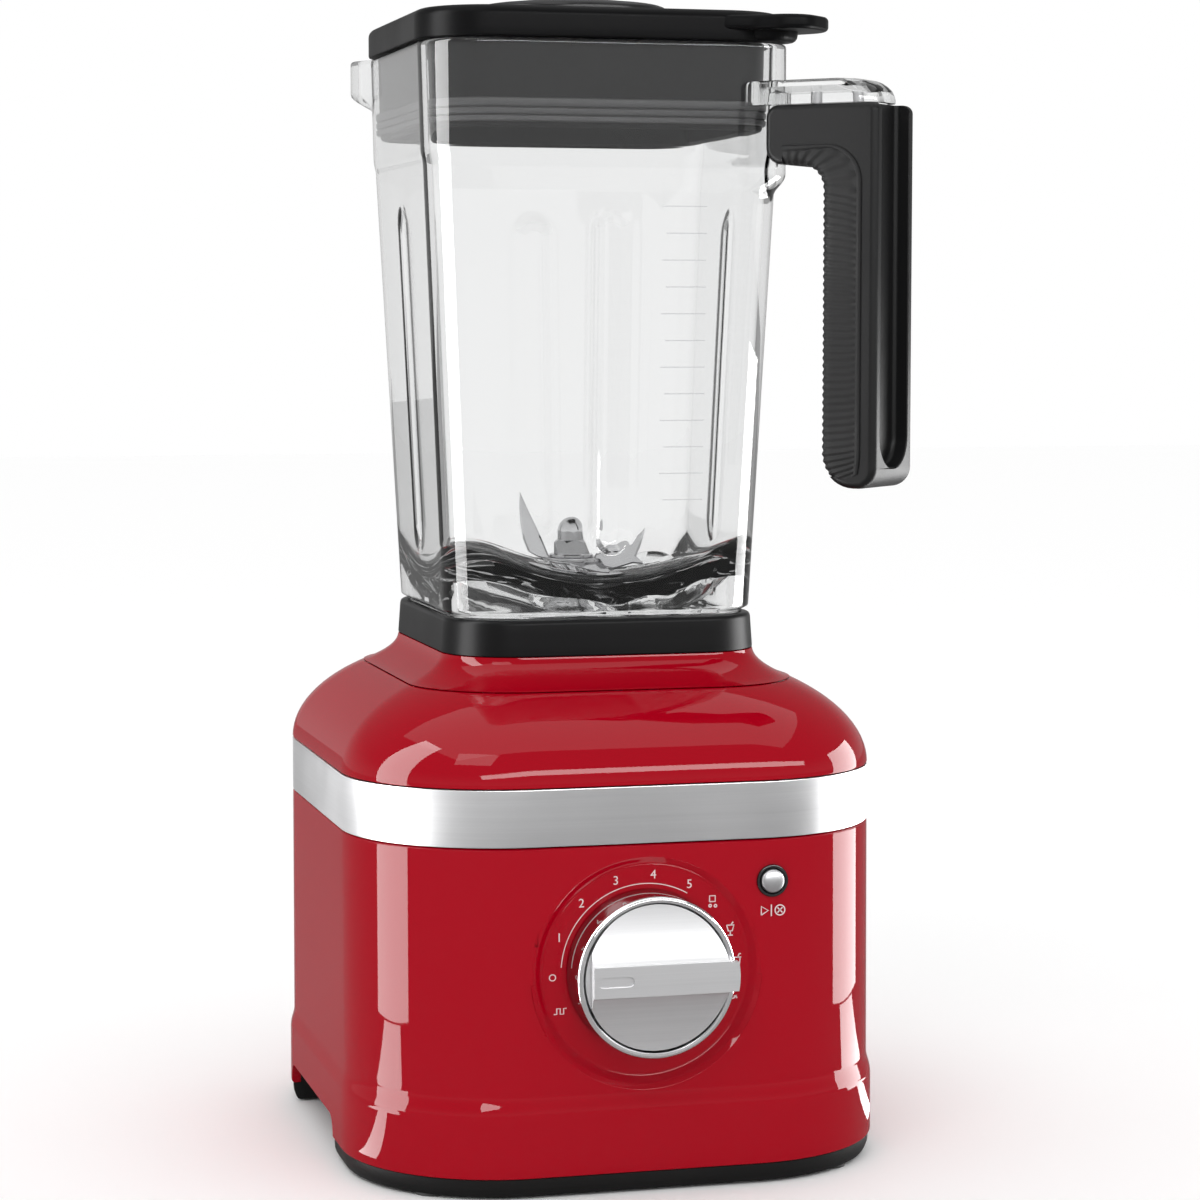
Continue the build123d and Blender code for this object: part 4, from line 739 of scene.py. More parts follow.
# ---------------------------------------------------------------- case
@dataclass
class PaintedCase:
    """Lower case, metal band, dome, neck and black collar."""

    half_x: float = 95.0
    half_y: float = 104.3
    radius: float = 56.0
    draft: float = 1.4
    step: float = 1.2
    wall: float = 3.4
    dial_z: float = 76.5
    dial_radius: float = 40.0
    dial_floor_radius: float = 36.0
    dial_depth: float = 2.6
    button_x: float = 44.5
    button_z: float = 105.5
    arch: tuple[float, float] = (-34.0, 54.0)
    arch_rise: float = 8.0
    step_start: float = 21.2
    step_run: float = 7.4
    neck_tall: float = 10.7
    dome_bend: float = 0.737
    neck_half: tuple[float, float, float] = (69.4, 78.2, 38.0)
    collar_half: tuple[float, float, float] = (56.9, 63.0, 26.0)
    pocket: tuple[float, float] = (53.5, 18.5)
    seat_hole: float = 27.0
    levels: dict[str, float] = field(default_factory=dict)

    def __post_init__(self) -> None:
        """Reads the heights of the stacked parts from the frame."""
        self.levels = {
            "foot": cad("motor_housing")[0].z, "band": cad("trim_band")[0].z,
            "dome": cad("trim_band")[1].z, "neck": cad("neck_cover")[1].z - self.neck_tall,
            "collar": cad("jar_seat")[0].z, "rim": cad("jar_seat")[1].z,
        }

    def front(self, z: float) -> float:
        """Y of the case's flat front at a height above the step."""
        share = (self.levels["band"] - z) / (self.levels["band"] - self.levels["foot"])
        return -(self.half_y + self.draft * share)

    def case_ring(self, z: float, inset: float) -> Ring:
        """Ring of the lower case; the foot of the case steps out in a smooth S."""
        grow = self.step * (1 - smoothstep((z - self.levels["foot"] - self.step_start) / self.step_run))
        grow -= 0.5 * smoothstep((self.levels["band"] - z) / -0.8 + 1)
        return rounded_ring(self.half_x + grow - inset, -self.front(z) + grow - inset,
                            self.radius + min(grow, 0) - inset, z)

    def build_lower(self) -> None:
        """Makes the painted lower case with its dial dish, button hole and side arches."""
        z0, z1 = self.levels["foot"], self.levels["band"]
        rows = [self.case_ring(z0 + up, inset) for up, inset in ((0, 0.9), (0.25, 0.3), (0.8, 0.0))]
        rows += [self.case_ring(z0 + up, 0.0) for up in (
            6, 14, 20, 21.2, 22, 22.8, 23.6, 24.4, 25.2, 26, 26.8, 27.6, 28.6, 31, 40, 60, 80, 100, 109)]
        rows += [self.case_ring(z, inset) for z, inset in (
            (z1 - 0.7, 0.0), (z1 - 0.35, 0.12), (z1 - 0.1, 0.45), (z1 - 0.1, self.wall),
            (z0 + 31, self.wall), (z0 + 20, self.wall), (z0, self.wall))]
        case = Bench.skin("lower_case", rows, Ends.JOINED)
        arch = Bench.block("arch_cutter", (-150, self.arch[0], z0 - 5),
                           (150, self.arch[1], z0 + self.arch_rise))
        Bench.soften_where(arch, lambda a, b: min(a.z, b.z) > z0 + 1 and abs(a.x - b.x) > 100,
                           self.arch_rise * 0.8, 8)
        Bench.merge(case, arch)
        front = self.front(self.dial_z)
        dish = [(46.0, 3.0), (self.dial_radius, 0.0), (39.0, -0.55), (38.1, -1.25), (37.2, -2.0),
                (36.6, -2.4), (self.dial_floor_radius - 0.4, -self.dial_depth)]
        tool = Bench.lathe("dish_cutter", dish, 128, Ends.FILLED)
        Bench.merge(case, Bench.pose(tool, (("X", 90),), (0, front, self.dial_z)))
        well = Bench.rod("button_cutter", 5.2, -9, 4)
        place = (self.button_x, self.front(self.button_z), self.button_z)
        Bench.merge(case, Bench.pose(well, (("X", 90),), place))
        reach = self.dial_radius

        def at_rim(a: Vector, b: Vector) -> bool:
            """Whether an edge lies on the dish's outer rim."""
            return all(abs(math.hypot(p.x, p.z - self.dial_z) - reach) < 0.5 and p.y < front + 0.9
                       and p.y > front - 1 for p in (a, b)) and (a - b).length < 3

        Bench.soften_where(case, at_rim, 0.9, 4)
        Bench.polish(case)
        Fit.on(case, Body.BASE, RED_PAINT, "red_paint", "motor_housing")

    def build_band(self) -> None:
        """Makes the brushed metal band with eased edges."""
        z0, z1 = self.levels["band"], self.levels["dome"]
        gap, lip, thick = 0.2, 0.4, 1.5
        stack = [(thick, z0 + gap), (lip, z0 + gap), (0.12, z0 + gap + 0.12), (0, z0 + gap + lip),
                 (0, z0 + 7), (0, z0 + 14), (0, z1 - gap - lip), (0.12, z1 - gap - 0.12),
                 (lip, z1 - gap), (thick, z1 - gap), (thick, z0 + 10)]
        rows = [rounded_ring(self.half_x - i, self.half_y - i, self.radius - i, z, 30)
                for i, z in stack]
        band = Bench.skin("metal_band", rows, Ends.JOINED)
        Bench.polish(band)
        Fit.on(band, Body.BASE, BAND_METAL, "band_metal", "trim_band")

    def dome_row(self, share: float, inset: float, z: float | None = None) -> Ring:
        """Ring of the dome's quarter-ellipse shoulder at a share of its height."""
        bend = self.dome_bend
        drop = (1 - math.sqrt(1 - (bend * share) ** 2)) / (1 - math.sqrt(1 - bend ** 2))
        nx, ny, nr = self.neck_half
        height = self.levels["dome"] + (self.levels["neck"] - self.levels["dome"]) * share
        return rounded_ring(self.half_x - (self.half_x - nx) * drop - inset,
                            self.half_y - (self.half_y - ny) * drop - inset,
                            self.radius - (self.radius - nr) * drop - inset,
                            height if z is None else z, 30)

    def build_dome(self) -> None:
        """Makes the dome from the band up to the neck joint."""
        z0 = self.levels["dome"]
        rows = [self.dome_row(0, 0.6, z0 + 0.12), self.dome_row(0, 0.15, z0 + 0.3)]
        rows += [self.dome_row(s, 0.0) for s in (0.025, 0.08, 0.15, 0.22, 0.3, 0.38, 0.46, 0.54, 0.61,
                                                 0.68, 0.74, 0.79, 0.84, 0.88, 0.92, 0.955, 0.985)]
        top = self.levels["neck"]
        rows += [self.dome_row(1.0, inset, top - down)
                 for inset, down in ((0.1, 0.1), (0.6, 0.35), (4.0, 0.9))]
        rows += [self.dome_row(s, self.wall + 1.5) for s in (0.85, 0.6, 0.3, 0.05)]
        dome = Bench.skin("dome", rows, Ends.JOINED)
        Bench.polish(dome)
        Fit.on(dome, Body.BASE, RED_PAINT, "red_paint", "top_housing")

    def neck_row(self, share: float, inset: float, z: float | None = None) -> Ring:
        """Ring of the flared neck at a share of its height."""
        flare = 1 - (1 - share) ** 2
        sizes = [a - (a - b) * flare - inset for a, b in zip(self.neck_half, self.collar_half)]
        height = self.levels["neck"] + (self.levels["collar"] - self.levels["neck"]) * share
        return rounded_ring(*sizes, height if z is None else z, 30)

    def build_neck(self) -> None:
        """Makes the flared neck with a fine seam above the dome."""
        z0, z1 = self.levels["neck"], self.levels["collar"]
        rows = [self.neck_row(0.0, inset, z0 + up)
                for inset, up in ((1.0, 0.05), (0.25, 0.15), (0.05, 0.4))]
        rows += [self.neck_row(s, 0.0) for s in (
            0.08, 0.16, 0.26, 0.36, 0.46, 0.56, 0.66, 0.76, 0.86, 0.94)]
        rows += [self.neck_row(*row) for row in (
            (1.0, 0.05, z1 - 0.25), (1.0, 0.5, z1 - 0.06), (1.0, 16.0, z1 - 0.06), (1.0, 16.0, z1 - 3.0),
            (0.5, 3.2, z0 + 4), (0.1, 3.4, z0 + 0.6))]
        neck = Bench.skin("neck", rows, Ends.JOINED)
        Bench.polish(neck)
        Fit.on(neck, Body.BASE, RED_PAINT, "red_paint", "neck_cover")

    def build_collar(self) -> None:
        """Makes the black collar with the pocket for the jar's foot."""
        z0, z1 = self.levels["collar"], self.levels["rim"]
        hx, hy, r = self.collar_half
        floor = z1 - 6.3
        pocket, pr = self.pocket

        def row(inset: float, z: float) -> Ring:
            """Outer ring of the collar; it leans in towards its top."""
            lean = 0.9 * (z - z0) / (z1 - z0) + inset
            return rounded_ring(hx - lean, hy - lean, r - lean, z, 24)

        rows = [row(inset, z) for inset, z in (
            (0.5, z0), (0.08, z0 + 0.25), (0, z0 + 0.7), (0, z0 + 4), (0, z0 + 8), (0, z1 - 1.6),
            (0.1, z1 - 0.9), (0.38, z1 - 0.35), (0.85, z1 - 0.06), (1.3, z1))]
        rows += [rounded_ring(pocket + wider, pocket + wider, pr + wider, z, 24) for wider, z in (
            (1.0, z1), (0.3, z1 - 0.25), (0.02, z1 - 1.0), (0.0, floor + 0.6), (-0.6, floor))]
        guide = rows[-1]
        rows += [circle_like(guide, self.seat_hole + wider, z) for wider, z in (
            (5, floor), (0.5, floor), (0, floor - 0.5), (0, z0))]
        rows.append(circle_like(row(0.5, z0), self.seat_hole + 20, z0))
        collar = Bench.skin("jar_collar", rows, Ends.JOINED)
        Bench.polish(collar)
        Fit.on(collar, Body.BASE, COLLAR_BLACK, "collar_black", "jar_seat")

    def build_feet(self) -> None:
        """Makes the black rails under the case, cut away at the side arches."""
        z1 = self.levels["foot"]
        hx, hy = self.half_x + self.step, self.half_y + self.step + self.draft
        stack = [(11.0, 0.8), (2.9, 0.8), (2.2, 1.2), (1.5, 2.4), (0.9, 4.2), (0.75, 6.2),
                 (0.75, z1 - 0.15), (3.3, z1 - 0.15), (3.3, 15.8), (10.4, 15.8), (11.0, 14.0)]
        rows = [rounded_ring(hx - i, hy - i * 1.15, self.radius - i, z, 22) for i, z in stack]
        for name, edge, side in (("front_foot", self.arch[0], 1), ("rear_foot", self.arch[1], -1)):
            foot = Bench.skin(name, rows, Ends.JOINED)
            Bench.grab(foot)
            bpy.ops.object.mode_set(mode="EDIT")
            bpy.ops.mesh.select_all(action="SELECT")
            bpy.ops.mesh.bisect(plane_co=(0, edge * MM, 0), plane_no=(0, side, 0), use_fill=True,
                                clear_outer=True)
            Bench.face_outwards()
            Bench.polish(foot)
            Fit.on(foot, Body.BASE, FOOT_BLACK, "foot_black", "base_feet")

    def build(self) -> None:
        """Makes the whole case."""
        self.build_lower()
        self.build_band()
        self.build_dome()
        self.build_neck()
        self.build_collar()
        self.build_feet()


# ---------------------------------------------------------------- controls
@dataclass
class Controls:
    """Speed knob, start button and the printed marks round them."""

    case: PaintedCase
    ring_radius: float = 27.75
    ring_inner: float = 25.55
    face_radius: float = 24.95
    bar_width: float = 10.5
    bar_rise: float = 5.0
    bar_tip: float = 28.6
    label_radius: float = 32.6
    label_size: float = 4.3
    stroke: float = 0.42
    track_stroke: float = 0.3
    print_rise: float = 0.06

    def build_ring(self) -> None:
        """Makes the chromed skirt of the knob."""
        low, high = cad("knob_ring")
        tall = high.y - low.y
        profile = [(self.ring_radius, 0.3), (self.ring_radius, 3.0), (self.ring_radius, tall - 1.7),
                   (self.ring_radius - 0.12, tall - 0.9), (self.ring_radius - 0.45, tall - 0.35),
                   (self.ring_radius - 0.95, tall - 0.04), (self.ring_radius - 1.3, tall),
                   (self.ring_inner + 0.35, tall - 0.15), (self.ring_inner + 0.06, tall - 0.5),
                   (self.ring_inner, tall - 1.2), (self.ring_inner, 0.3)]
        ring = Bench.lathe("knob_skirt", profile, 128)
        Bench.pose(ring, (("X", 90),), (0, high.y, self.case.dial_z))
        Bench.polish(ring)
        Fit.on(ring, Body.KNOB, CHROME, "chrome", "knob_ring")

    def build_knob(self) -> None:
        """Makes the knob's face, scooped away on both sides of a raised bar."""
        low, high = cad("speed_knob")
        tall = high.y - low.y
        face = tall - self.bar_rise
        profile = [(self.ring_inner - 0.1, 0.0), (self.ring_inner - 0.1, 4.0), (self.face_radius, 4.3),
                   (self.face_radius, tall)]
        knob = Bench.lathe("knob_face", profile, 128, Ends.FILLED)
        width, depth = 30.0, self.bar_rise + 0.2
        for side in (-1, 1):
            Bench.clear()
            bpy.ops.mesh.primitive_cylinder_add(
                vertices=160, radius=MM, depth=70 * MM, rotation=(0, math.pi / 2, 0),
                location=(0, side * (self.bar_width / 2 + width) * MM, (face + depth - 0.5) * MM))
            scoop = bpy.context.object
            scoop.scale = (depth, width, 1)
            Bench.settle(scoop)
            Bench.merge(knob, scoop)
            block = Bench.block("scoop_top", (-width, -width, tall - 0.75),
                                (width, -self.bar_width / 2, tall + 5))
            Bench.merge(knob, Bench.pose(block, (("Z", 0 if side < 0 else 180),)))
        end = Bench.block("bar_end_cutter", (-30, -12, face + 0.6), (-23.1, 12, tall + 3))
        Bench.merge(knob, end)
        ring_low, ring_high = cad("knob_ring")
        over_skirt = ring_high.y - ring_low.y + 0.2 + high.y - ring_high.y
        half = self.bar_width / 2 - 0.2
        over = Bench.block("bar_tip", (18.0, -half, over_skirt), (self.bar_tip, half, tall - 0.02))
        skirt = Bench.rod("skirt_edge", self.ring_radius + 0.1, 0, tall + 3, steps=160)
        Bench.merge(over, skirt, "INTERSECT")
        Bench.merge(knob, over, "UNION")
        slot = sweep_corner([(-21.6, -1.75), (-9.2, -1.75), (-9.2, 1.75), (-21.6, 1.75)], [1.7] * 4, 6)
        cut = Bench.plate("pointer_cutter", slot, 3.0)
        Bench.merge(knob, Bench.pose(cut, (), (0, 0, tall - 0.7)))
        Bench.soften(knob, 0.35, 3, 40)
        Bench.pose(knob, (("X", 90),), (0, high.y, self.case.dial_z))
        Bench.polish(knob)
        Fit.on(knob, Body.KNOB, KNOB_METAL, "knob_metal", "speed_knob")

    def build_button(self) -> None:
        """Makes the start button's domed cap and its black ring."""
        low, high = cad("button_bezel")
        tall = high.y - low.y
        rim = [(4.45, 0.0), (5.0, 0.0), (5.0, tall - 1.0), (5.6, tall - 0.8), (5.6, tall - 0.45),
               (5.4, tall - 0.12), (5.1, tall), (4.75, tall - 0.06), (4.5, tall - 0.3),
               (4.45, tall - 0.7)]
        bezel = Bench.lathe("button_ring", rim, 72)
        place = (self.case.button_x, high.y, self.case.button_z)
        Bench.pose(bezel, (("X", 90),), place)
        Bench.polish(bezel)
        Fit.on(bezel, Body.BASE, BEZEL_BLACK, "bezel_black", "button_bezel")
        low, high = cad("start_button")
        tall = high.y - low.y
        dome = [(4.1, 0.0), (4.1, tall - 1.75), (4.02, tall - 1.3), (3.8, tall - 0.95)]
        dome += [(r, tall - 0.9 * (r / 3.8) ** 2.2) for r in (3.4, 2.9, 2.3, 1.6, 0.9, 0.3)]
        cap = Bench.lathe("start_cap", dome, 72, Ends.FILLED)
        Bench.pose(cap, (("X", 90),), (self.case.button_x, high.y, self.case.button_z))
        Bench.polish(cap)
        Fit.on(cap, Body.BUTTON, BUTTON_METAL, "button_metal", "start_button")

    def ribbon(self, points: Outline, width: float | None = None) -> Piece:
        """Raised printed line along points on the X-Y plane, facing +Z.

        Args:
            points: Points of the line.
            width: Its width, or None for the usual stroke.

        Returns:
            The new mesh object.
        """
        half = (width or self.stroke) / 2
        rows: list[Ring] = []
        for index, (x, y) in enumerate(points):
            x0, y0 = points[max(index - 1, 0)]
            x1, y1 = points[min(index + 1, len(points) - 1)]
            ahead = Vector((x1 - x0, y1 - y0)).normalized()
            nx, ny = -ahead.y * half, ahead.x * half
            rows.append([(x + nx, y + ny, -0.05), (x - nx, y - ny, -0.05),
                         (x - nx, y - ny, self.print_rise), (x + nx, y + ny, self.print_rise)])
        return Bench.skin("mark", rows, Ends.FILLED)

    def letters(self, text: str, size: float) -> Piece:
        """Makes a numeral as a thin mesh centred on the origin."""
        Bench.clear()
        bpy.ops.object.text_add(location=(0, 0, 0))
        mark = bpy.context.object
        mark.data.body, mark.data.size = text, size * MM
        mark.data.align_x, mark.data.align_y = "CENTER", "CENTER"
        mark.data.extrude = self.print_rise * MM
        mark.data.resolution_u = 4
        bpy.ops.object.convert(target="MESH")
        return bpy.context.object

    @staticmethod
    def arc(radius: float, start: float, end: float, x: float = 0.0, y: float = 0.0,
            steps: int = 24) -> list[tuple[float, float]]:
        """Points on an arc, in degrees."""
        span = [math.radians(start + (end - start) * i / steps) for i in range(steps + 1)]
        return [(x + radius * math.cos(a), y + radius * math.sin(a)) for a in span]

    def icons(self) -> list[tuple[float, list[list[tuple[float, float]]]]]:
        """Small generic symbols: angle on the dial and the lines of each."""
        pulse = [[(-2.2, -0.9), (-1.2, -0.9), (-1.2, 1.0), (0.0, 1.0), (0.0, -0.9), (1.2, -0.9),
                  (1.2, 1.0), (2.2, 1.0)]]
        ice = [[(-1.2, 0.2), (0.8, 0.2), (0.8, 2.2), (-1.2, 2.2), (-1.2, 0.2)],
               self.arc(0.45, 0, 360, -1.0, -1.2, 10), self.arc(0.45, 0, 360, 0.9, -1.3, 10)]
        drink = [[(-1.3, 1.6), (-0.7, -0.4), (0.7, -0.4), (1.3, 1.6), (-1.3, 1.6)],
                 [(0, -0.4), (0, -1.8)], [(-0.9, -1.9), (0.9, -1.9)], [(0.2, 1.6), (1.0, 2.7)]]
        glass = [[(-1.2, 1.4), (-0.9, -1.9), (0.9, -1.9), (1.2, 1.4)], [(-1.6, 1.4), (1.6, 1.4)],
                 [(0.3, 1.4), (0.9, 2.6), (1.5, 2.6)]]
        clean = [self.arc(1.6, 60, 330), [(1.7, -1.6), (1.4, -0.7), (0.5, -0.9)]]
        return [(203.5, pulse), (42.6, ice), (22.0, drink), (2.0, glass), (-18.0, clean)]

    def build_print(self) -> None:
        """Makes the marks on the dial's floor and under the start button."""
        marks: list[Piece] = []

        def put(mark: Piece, x: float, z: float, y: float) -> None:
            """Stands a mark on a surface that faces the front."""
            marks.append(Bench.pose(mark, (("X", 90),), (x, y, z)))

        def put_round(mark: Piece, angle: float) -> None:
            """Stands a mark on the dial's floor at an angle in degrees."""
            turn = math.radians(angle)
            put(mark, radius * math.cos(turn), self.case.dial_z + radius * math.sin(turn), floor)

        floor = self.case.front(self.case.dial_z) + self.case.dial_depth
        radius = self.label_radius
        put_round(self.letters("O", self.label_size * 0.8), 182.5)
        for text, angle in (("1", 158.0), ("2", 133.5), ("3", 108.6), ("4", 85.0), ("5", 61.4)):
            put_round(self.letters(text, self.label_size), angle)
        for angle, lines in self.icons():
            for line in lines:
                put_round(self.ribbon(line), angle)
        track = self.ribbon(self.arc(29.6, 176, 60, steps=72), self.track_stroke)
        put(track, 0, self.case.dial_z, floor)
        z = self.case.button_z - 10.3
        front = self.case.front(z) - 0.02
        x = self.case.button_x
        for line in ([(-3.9, -1.5), (-3.9, 1.5), (-1.4, 0.0), (-3.9, -1.5)], [(-0.3, -2.0), (-0.3, 2.0)],
                     self.arc(1.75, 0, 360, 2.8), [(1.9, -0.9), (3.7, 0.9)], [(1.9, 0.9), (3.7, -0.9)]):
            put(self.ribbon(line), x, z, front)
        print_piece = Bench.join(marks)
        print_piece.name = print_piece.data.name = "dial_marks"
        Fit.on(print_piece, Body.BASE, PRINT_PALE, None)

    def build(self) -> None:
        """Makes all the controls."""
        self.build_ring()
        self.build_knob()
        self.build_button()
        self.build_print()


# ---------------------------------------------------------------- jar
@dataclass
class ClearJar:
    """Square jar with wall ribs, a handle channel, a pouring lip and a thick bowl floor."""

    wall: float = 3.2
    foot: tuple[float, float] = (53.0, 18.0)
    stations: tuple[tuple[float, float, float], ...] = (
        (194.0, 55.9, 20.0), (350.0, 63.5, 21.5), (356.5, 64.4, 22.4), (393.0, 65.3, 24.0))
    bowl_radius: float = 102.5
    bowl_centre: float = 293.1
    floor_thick: float = 4.6
    flat: float = 192.8
    hub_hole: float = 13.9
    rib_top: float = 338.0
    rib_foot: float = 214.0
    groove: tuple[float, float] = (7.4, 2.6)
    bump: tuple[float, float] = (10.4, 3.2)
    side_share: float = 0.45
    ripple: float = 0.9
    channel: tuple[float, float, float] = (73.0, 13.0, 343.0)
    spout: tuple[float, float, float] = (80.9, 13.0, 374.0)
    lobe_blend: float = 1.6
    hub_rim: float = 21.3
    foot_rim: float = 29.0
    bowl_blend: float = 7.0
    bowl_start: float = 224.0
    foot_z: float = 187.0
    bracket_end: float = 127.3
    bracket_width: float = 24.4
    scale_marks: int = 12
    scale_start: float = 234.0
    scale_pitch: float = 9.3

    def angles(self) -> list[float]:
        """Directions round the jar, closer together at the ribs and corners."""
        rib = [i * 10.5 / 14 for i in range(-14, 15)]
        side = [13.0, 16.5, 20.0, 24.0, 28.0, 30.5]
        corner = [31.5 + i * 13.5 / 14 for i in range(15)]
        quarter = [-a for a in reversed(side + corner)] + rib + side + corner[:-1]
        return [math.radians(90 * turn + a) for turn in range(4) for a in quarter]

    def section(self, z: float) -> tuple[float, float]:
        """Half width and corner radius of the outside at a height."""
        points = self.stations
        if z <= points[0][0] + 1.2:
            share = smoothstep((z - points[0][0] + 1.0) / 2.2)
            half, radius = points[0][1:]
            return (self.foot[0] + (half - self.foot[0]) * share,
                    self.foot[1] + (radius - self.foot[1]) * share)
        for (z0, h0, r0), (z1, h1, r1) in zip(points, points[1:]):
            if z <= z1:
                share = (z - z0) / (z1 - z0)
                if h1 - h0 < 1.0 and z1 - z0 < 8:
                    share = smoothstep(share)
                return h0 + (h1 - h0) * share, r0 + (r1 - r0) * share
        return points[-1][1], points[-1][2]

    def rib(self, angle: float, half: float, z: float, size: tuple[float, float]) -> float:
        """How far the wall is pushed in by its rib, measured along the ray."""
        delta = (angle + math.pi / 4) % (math.pi / 2) - math.pi / 4
        across = half * math.tan(delta)
        width, depth = size
        depth *= self.side_share + (1 - self.side_share) * math.sin(angle) ** 2
        end = max(z - (self.rib_top - width), (self.rib_foot + width) - z, 0.0)
        reach = math.hypot(across, end)
        if reach >= width:
            return 0.0
        return depth * smoothstep(1.35 * (1 - reach / width)) / math.cos(delta)

    def reach(self, angle: float, z: float, inset: float) -> float:
        """Distance from the axis to the outer wall, or to the inner wall when inset is the wall."""
        half, radius = self.section(z)
        size = self.groove if inset == 0 else self.bump
        if inset and z < self.stations[0][0] + 1.2:
            half, radius = self.stations[0][1:]
        out = square_reach(angle, half - inset, radius - inset) - self.rib(angle, half, z, size)
        for (centre, radius, start), turn, lead, draw, run in (
                (self.channel, HANDLE_TURN, 6, 8.0, 11), (self.spout, SPOUT_TURN, 2, 12.0, 9)):
            if z > start - lead:
                centre -= draw * (1 - smoothstep((z - start + lead) / run))
                out = soft_max(out, lobe_reach(angle, turn, centre, radius - inset), self.lobe_blend)
        return out

    def ring(self, directions: Sequence[float], z: float, inset: float, shrink: float = 0.0) -> Ring:
        """Ring of the outer or inner wall at a height."""
        return [polar(self.reach(angle, z, inset) - shrink, angle, z) for angle in directions]

    def bowl(self, far: float, extra: float = 0.0) -> float:
        """Height of the bowl's surface at a distance from the axis."""
        radius = self.bowl_radius + extra
        return self.bowl_centre - math.sqrt(radius * radius - far * far)

    def wave(self, angle: float, far: float, turns: int, rim: float) -> float:
        """Moulded ripple of the bowl, which fades towards the hub and over 8 mm at the rim."""
        share = smoothstep((far - 22.0) / 12.0) * (1 - smoothstep((far - rim) / 8.0))
        return self.ripple * share * math.cos(turns * angle + far * 0.3)

    def heights(self) -> list[float]:
        """Heights of the wall's rings above the bowl."""
        rows = [self.bowl_start, 226.0, 229.0, 232.0, 245.0, 270.0, 295.0, 318.0, 327.0]
        rows += [328.0 + i * 0.8 for i in range(14)]
        rows += [341.0 + i * 1.2 for i in range(15)]
        rows += [361.0, 366.0, 371.0, 372.0]
        rows += [373.0 + i for i in range(11)]
        rows += [386.0, 389.0, 391.0]
        return rows

    def wall_rows(self, directions: Sequence[float]) -> list[Ring]:
        """Rings up the outside, over the rim and down the inside to the bowl's edge."""
        top = cad("jar")[1].z
        rows = [self.ring(directions, self.foot_z, 0.0, 0.5), self.ring(directions, 187.15, 0.0, 0.12)]
        rows += [self.ring(directions, z, 0.0) for z in (
            187.6, 190.0, 192.4, 193.0, 193.3, 193.6, 193.9, 194.2, 194.5, 194.8, 195.2, 196.0, 199.0,
            204.0, 209.0, 213.0)]
        rows += [self.ring(directions, self.rib_foot + i, 0.0) for i in range(10)]
        rows += [self.ring(directions, z, 0.0) for z in self.heights()]
        lip = ((1.3, 0.0), (0.8, 0.08), (0.35, 0.32), (0.08, 0.7), (0.0, 1.1))
        rows += [self.ring(directions, top - down, 0.0, shrink) for down, shrink in lip]
        rows += [self.ring(directions, top - down, self.wall, -shrink) for down, shrink in reversed(lip)]
        rows += [self.ring(directions, z, self.wall) for z in reversed(self.heights())]
        return rows

    def bowl_rows(self, directions: Sequence[float]) -> list[Ring]:
        """Rings from the inner wall over the bowl, through the hub hole and back under the floor."""
        start, blend = self.bowl_start, self.bowl_blend
        edges = []
        for angle in directions:
            height = 212.0
            for _ in range(4):
                height = self.bowl(self.reach(angle, height, self.wall))
            edges.append((angle, height))
        rows: list[Ring] = []
        for step in range(1, 9):
            share = step / 9
            row: Ring = []
            for angle, height in edges:
                z = start + (height + blend * 0.7 - start) * share
                far = self.reach(angle, z, self.wall)
                row.append(polar(far, angle, z))
            rows.append(row)
        for step in range(7):
            share = step / 6
            row = []
            for angle, height in edges:
                z0 = height + blend * 0.7
                far0, corner = self.reach(angle, z0, self.wall), self.reach(angle, height, self.wall)
                far1 = corner - blend
                z1 = self.bowl(far1)
                weights = ((1 - share) ** 2, 2 * share * (1 - share), share ** 2)
                far = far0 * weights[0] + corner * weights[1] + far1 * weights[2]
                z = z0 * weights[0] + height * weights[1] + z1 * weights[2]
                row.append(polar(far, angle, z))
            rows.append(row)
        rim = self.hub_rim
        for share in (0.9, 0.78, 0.66, 0.54, 0.43, 0.33, 0.24, 0.16, 0.09, 0.04, 0.0):
            row = []
            for angle, height in edges:
                far = rim + (self.reach(angle, height, self.wall) - blend - rim) * share
                z = max(self.bowl(far) + self.wave(angle, far, 8, 42.0), self.flat)
                row.append(polar(far, angle, z))
            rows.append(row)

        under = self.flat - self.floor_thick
        rows += [[polar(radius, angle, z) for angle in directions] for radius, z in (
            (17.0, self.flat), (self.hub_hole + 0.3, self.flat), (self.hub_hole, self.flat - 0.3),
            (self.hub_hole, under + 0.3), (self.hub_hole + 0.3, under), (20.0, under), (27.5, under))]
        skirt, corner = self.foot[0] - self.wall, self.foot[1] - self.wall
        for share in (0.0, 0.12, 0.26, 0.42, 0.58, 0.74, 0.88, 0.97):
            row = []
            for angle in directions:
                edge = square_reach(angle, skirt, corner)
                far = self.foot_rim + (edge - self.foot_rim) * share
                z = self.bowl(far, self.floor_thick) + self.wave(angle, far, 12, 58.0)
                row.append(polar(far, angle, z))
            rows.append(row)
        for drop in (0.0, 0.35, 0.7, 1.0):
            row = []
            for angle in directions:
                far = square_reach(angle, skirt, corner)
                top = self.bowl(far, self.floor_thick) - 1.2
                row.append(polar(far, angle, top + (self.foot_z + 0.4 - top) * drop))
            rows.append(row)
        rows.append([polar(square_reach(a, skirt + 0.4, corner), a, self.foot_z) for a in directions])
        return rows

    def build_wall(self) -> None:
        """Makes the jar's clear shell."""
        directions = self.angles()
        rows = self.wall_rows(directions) + self.bowl_rows(directions)
        shell = Bench.skin("jar_shell", rows, Ends.JOINED)
        Bench.grab(shell)
        bpy.ops.object.shade_smooth_by_angle(angle=math.radians(50))
        Fit.on(shell, Body.JAR, CLEAR_JAR, "clear_jar", "jar")

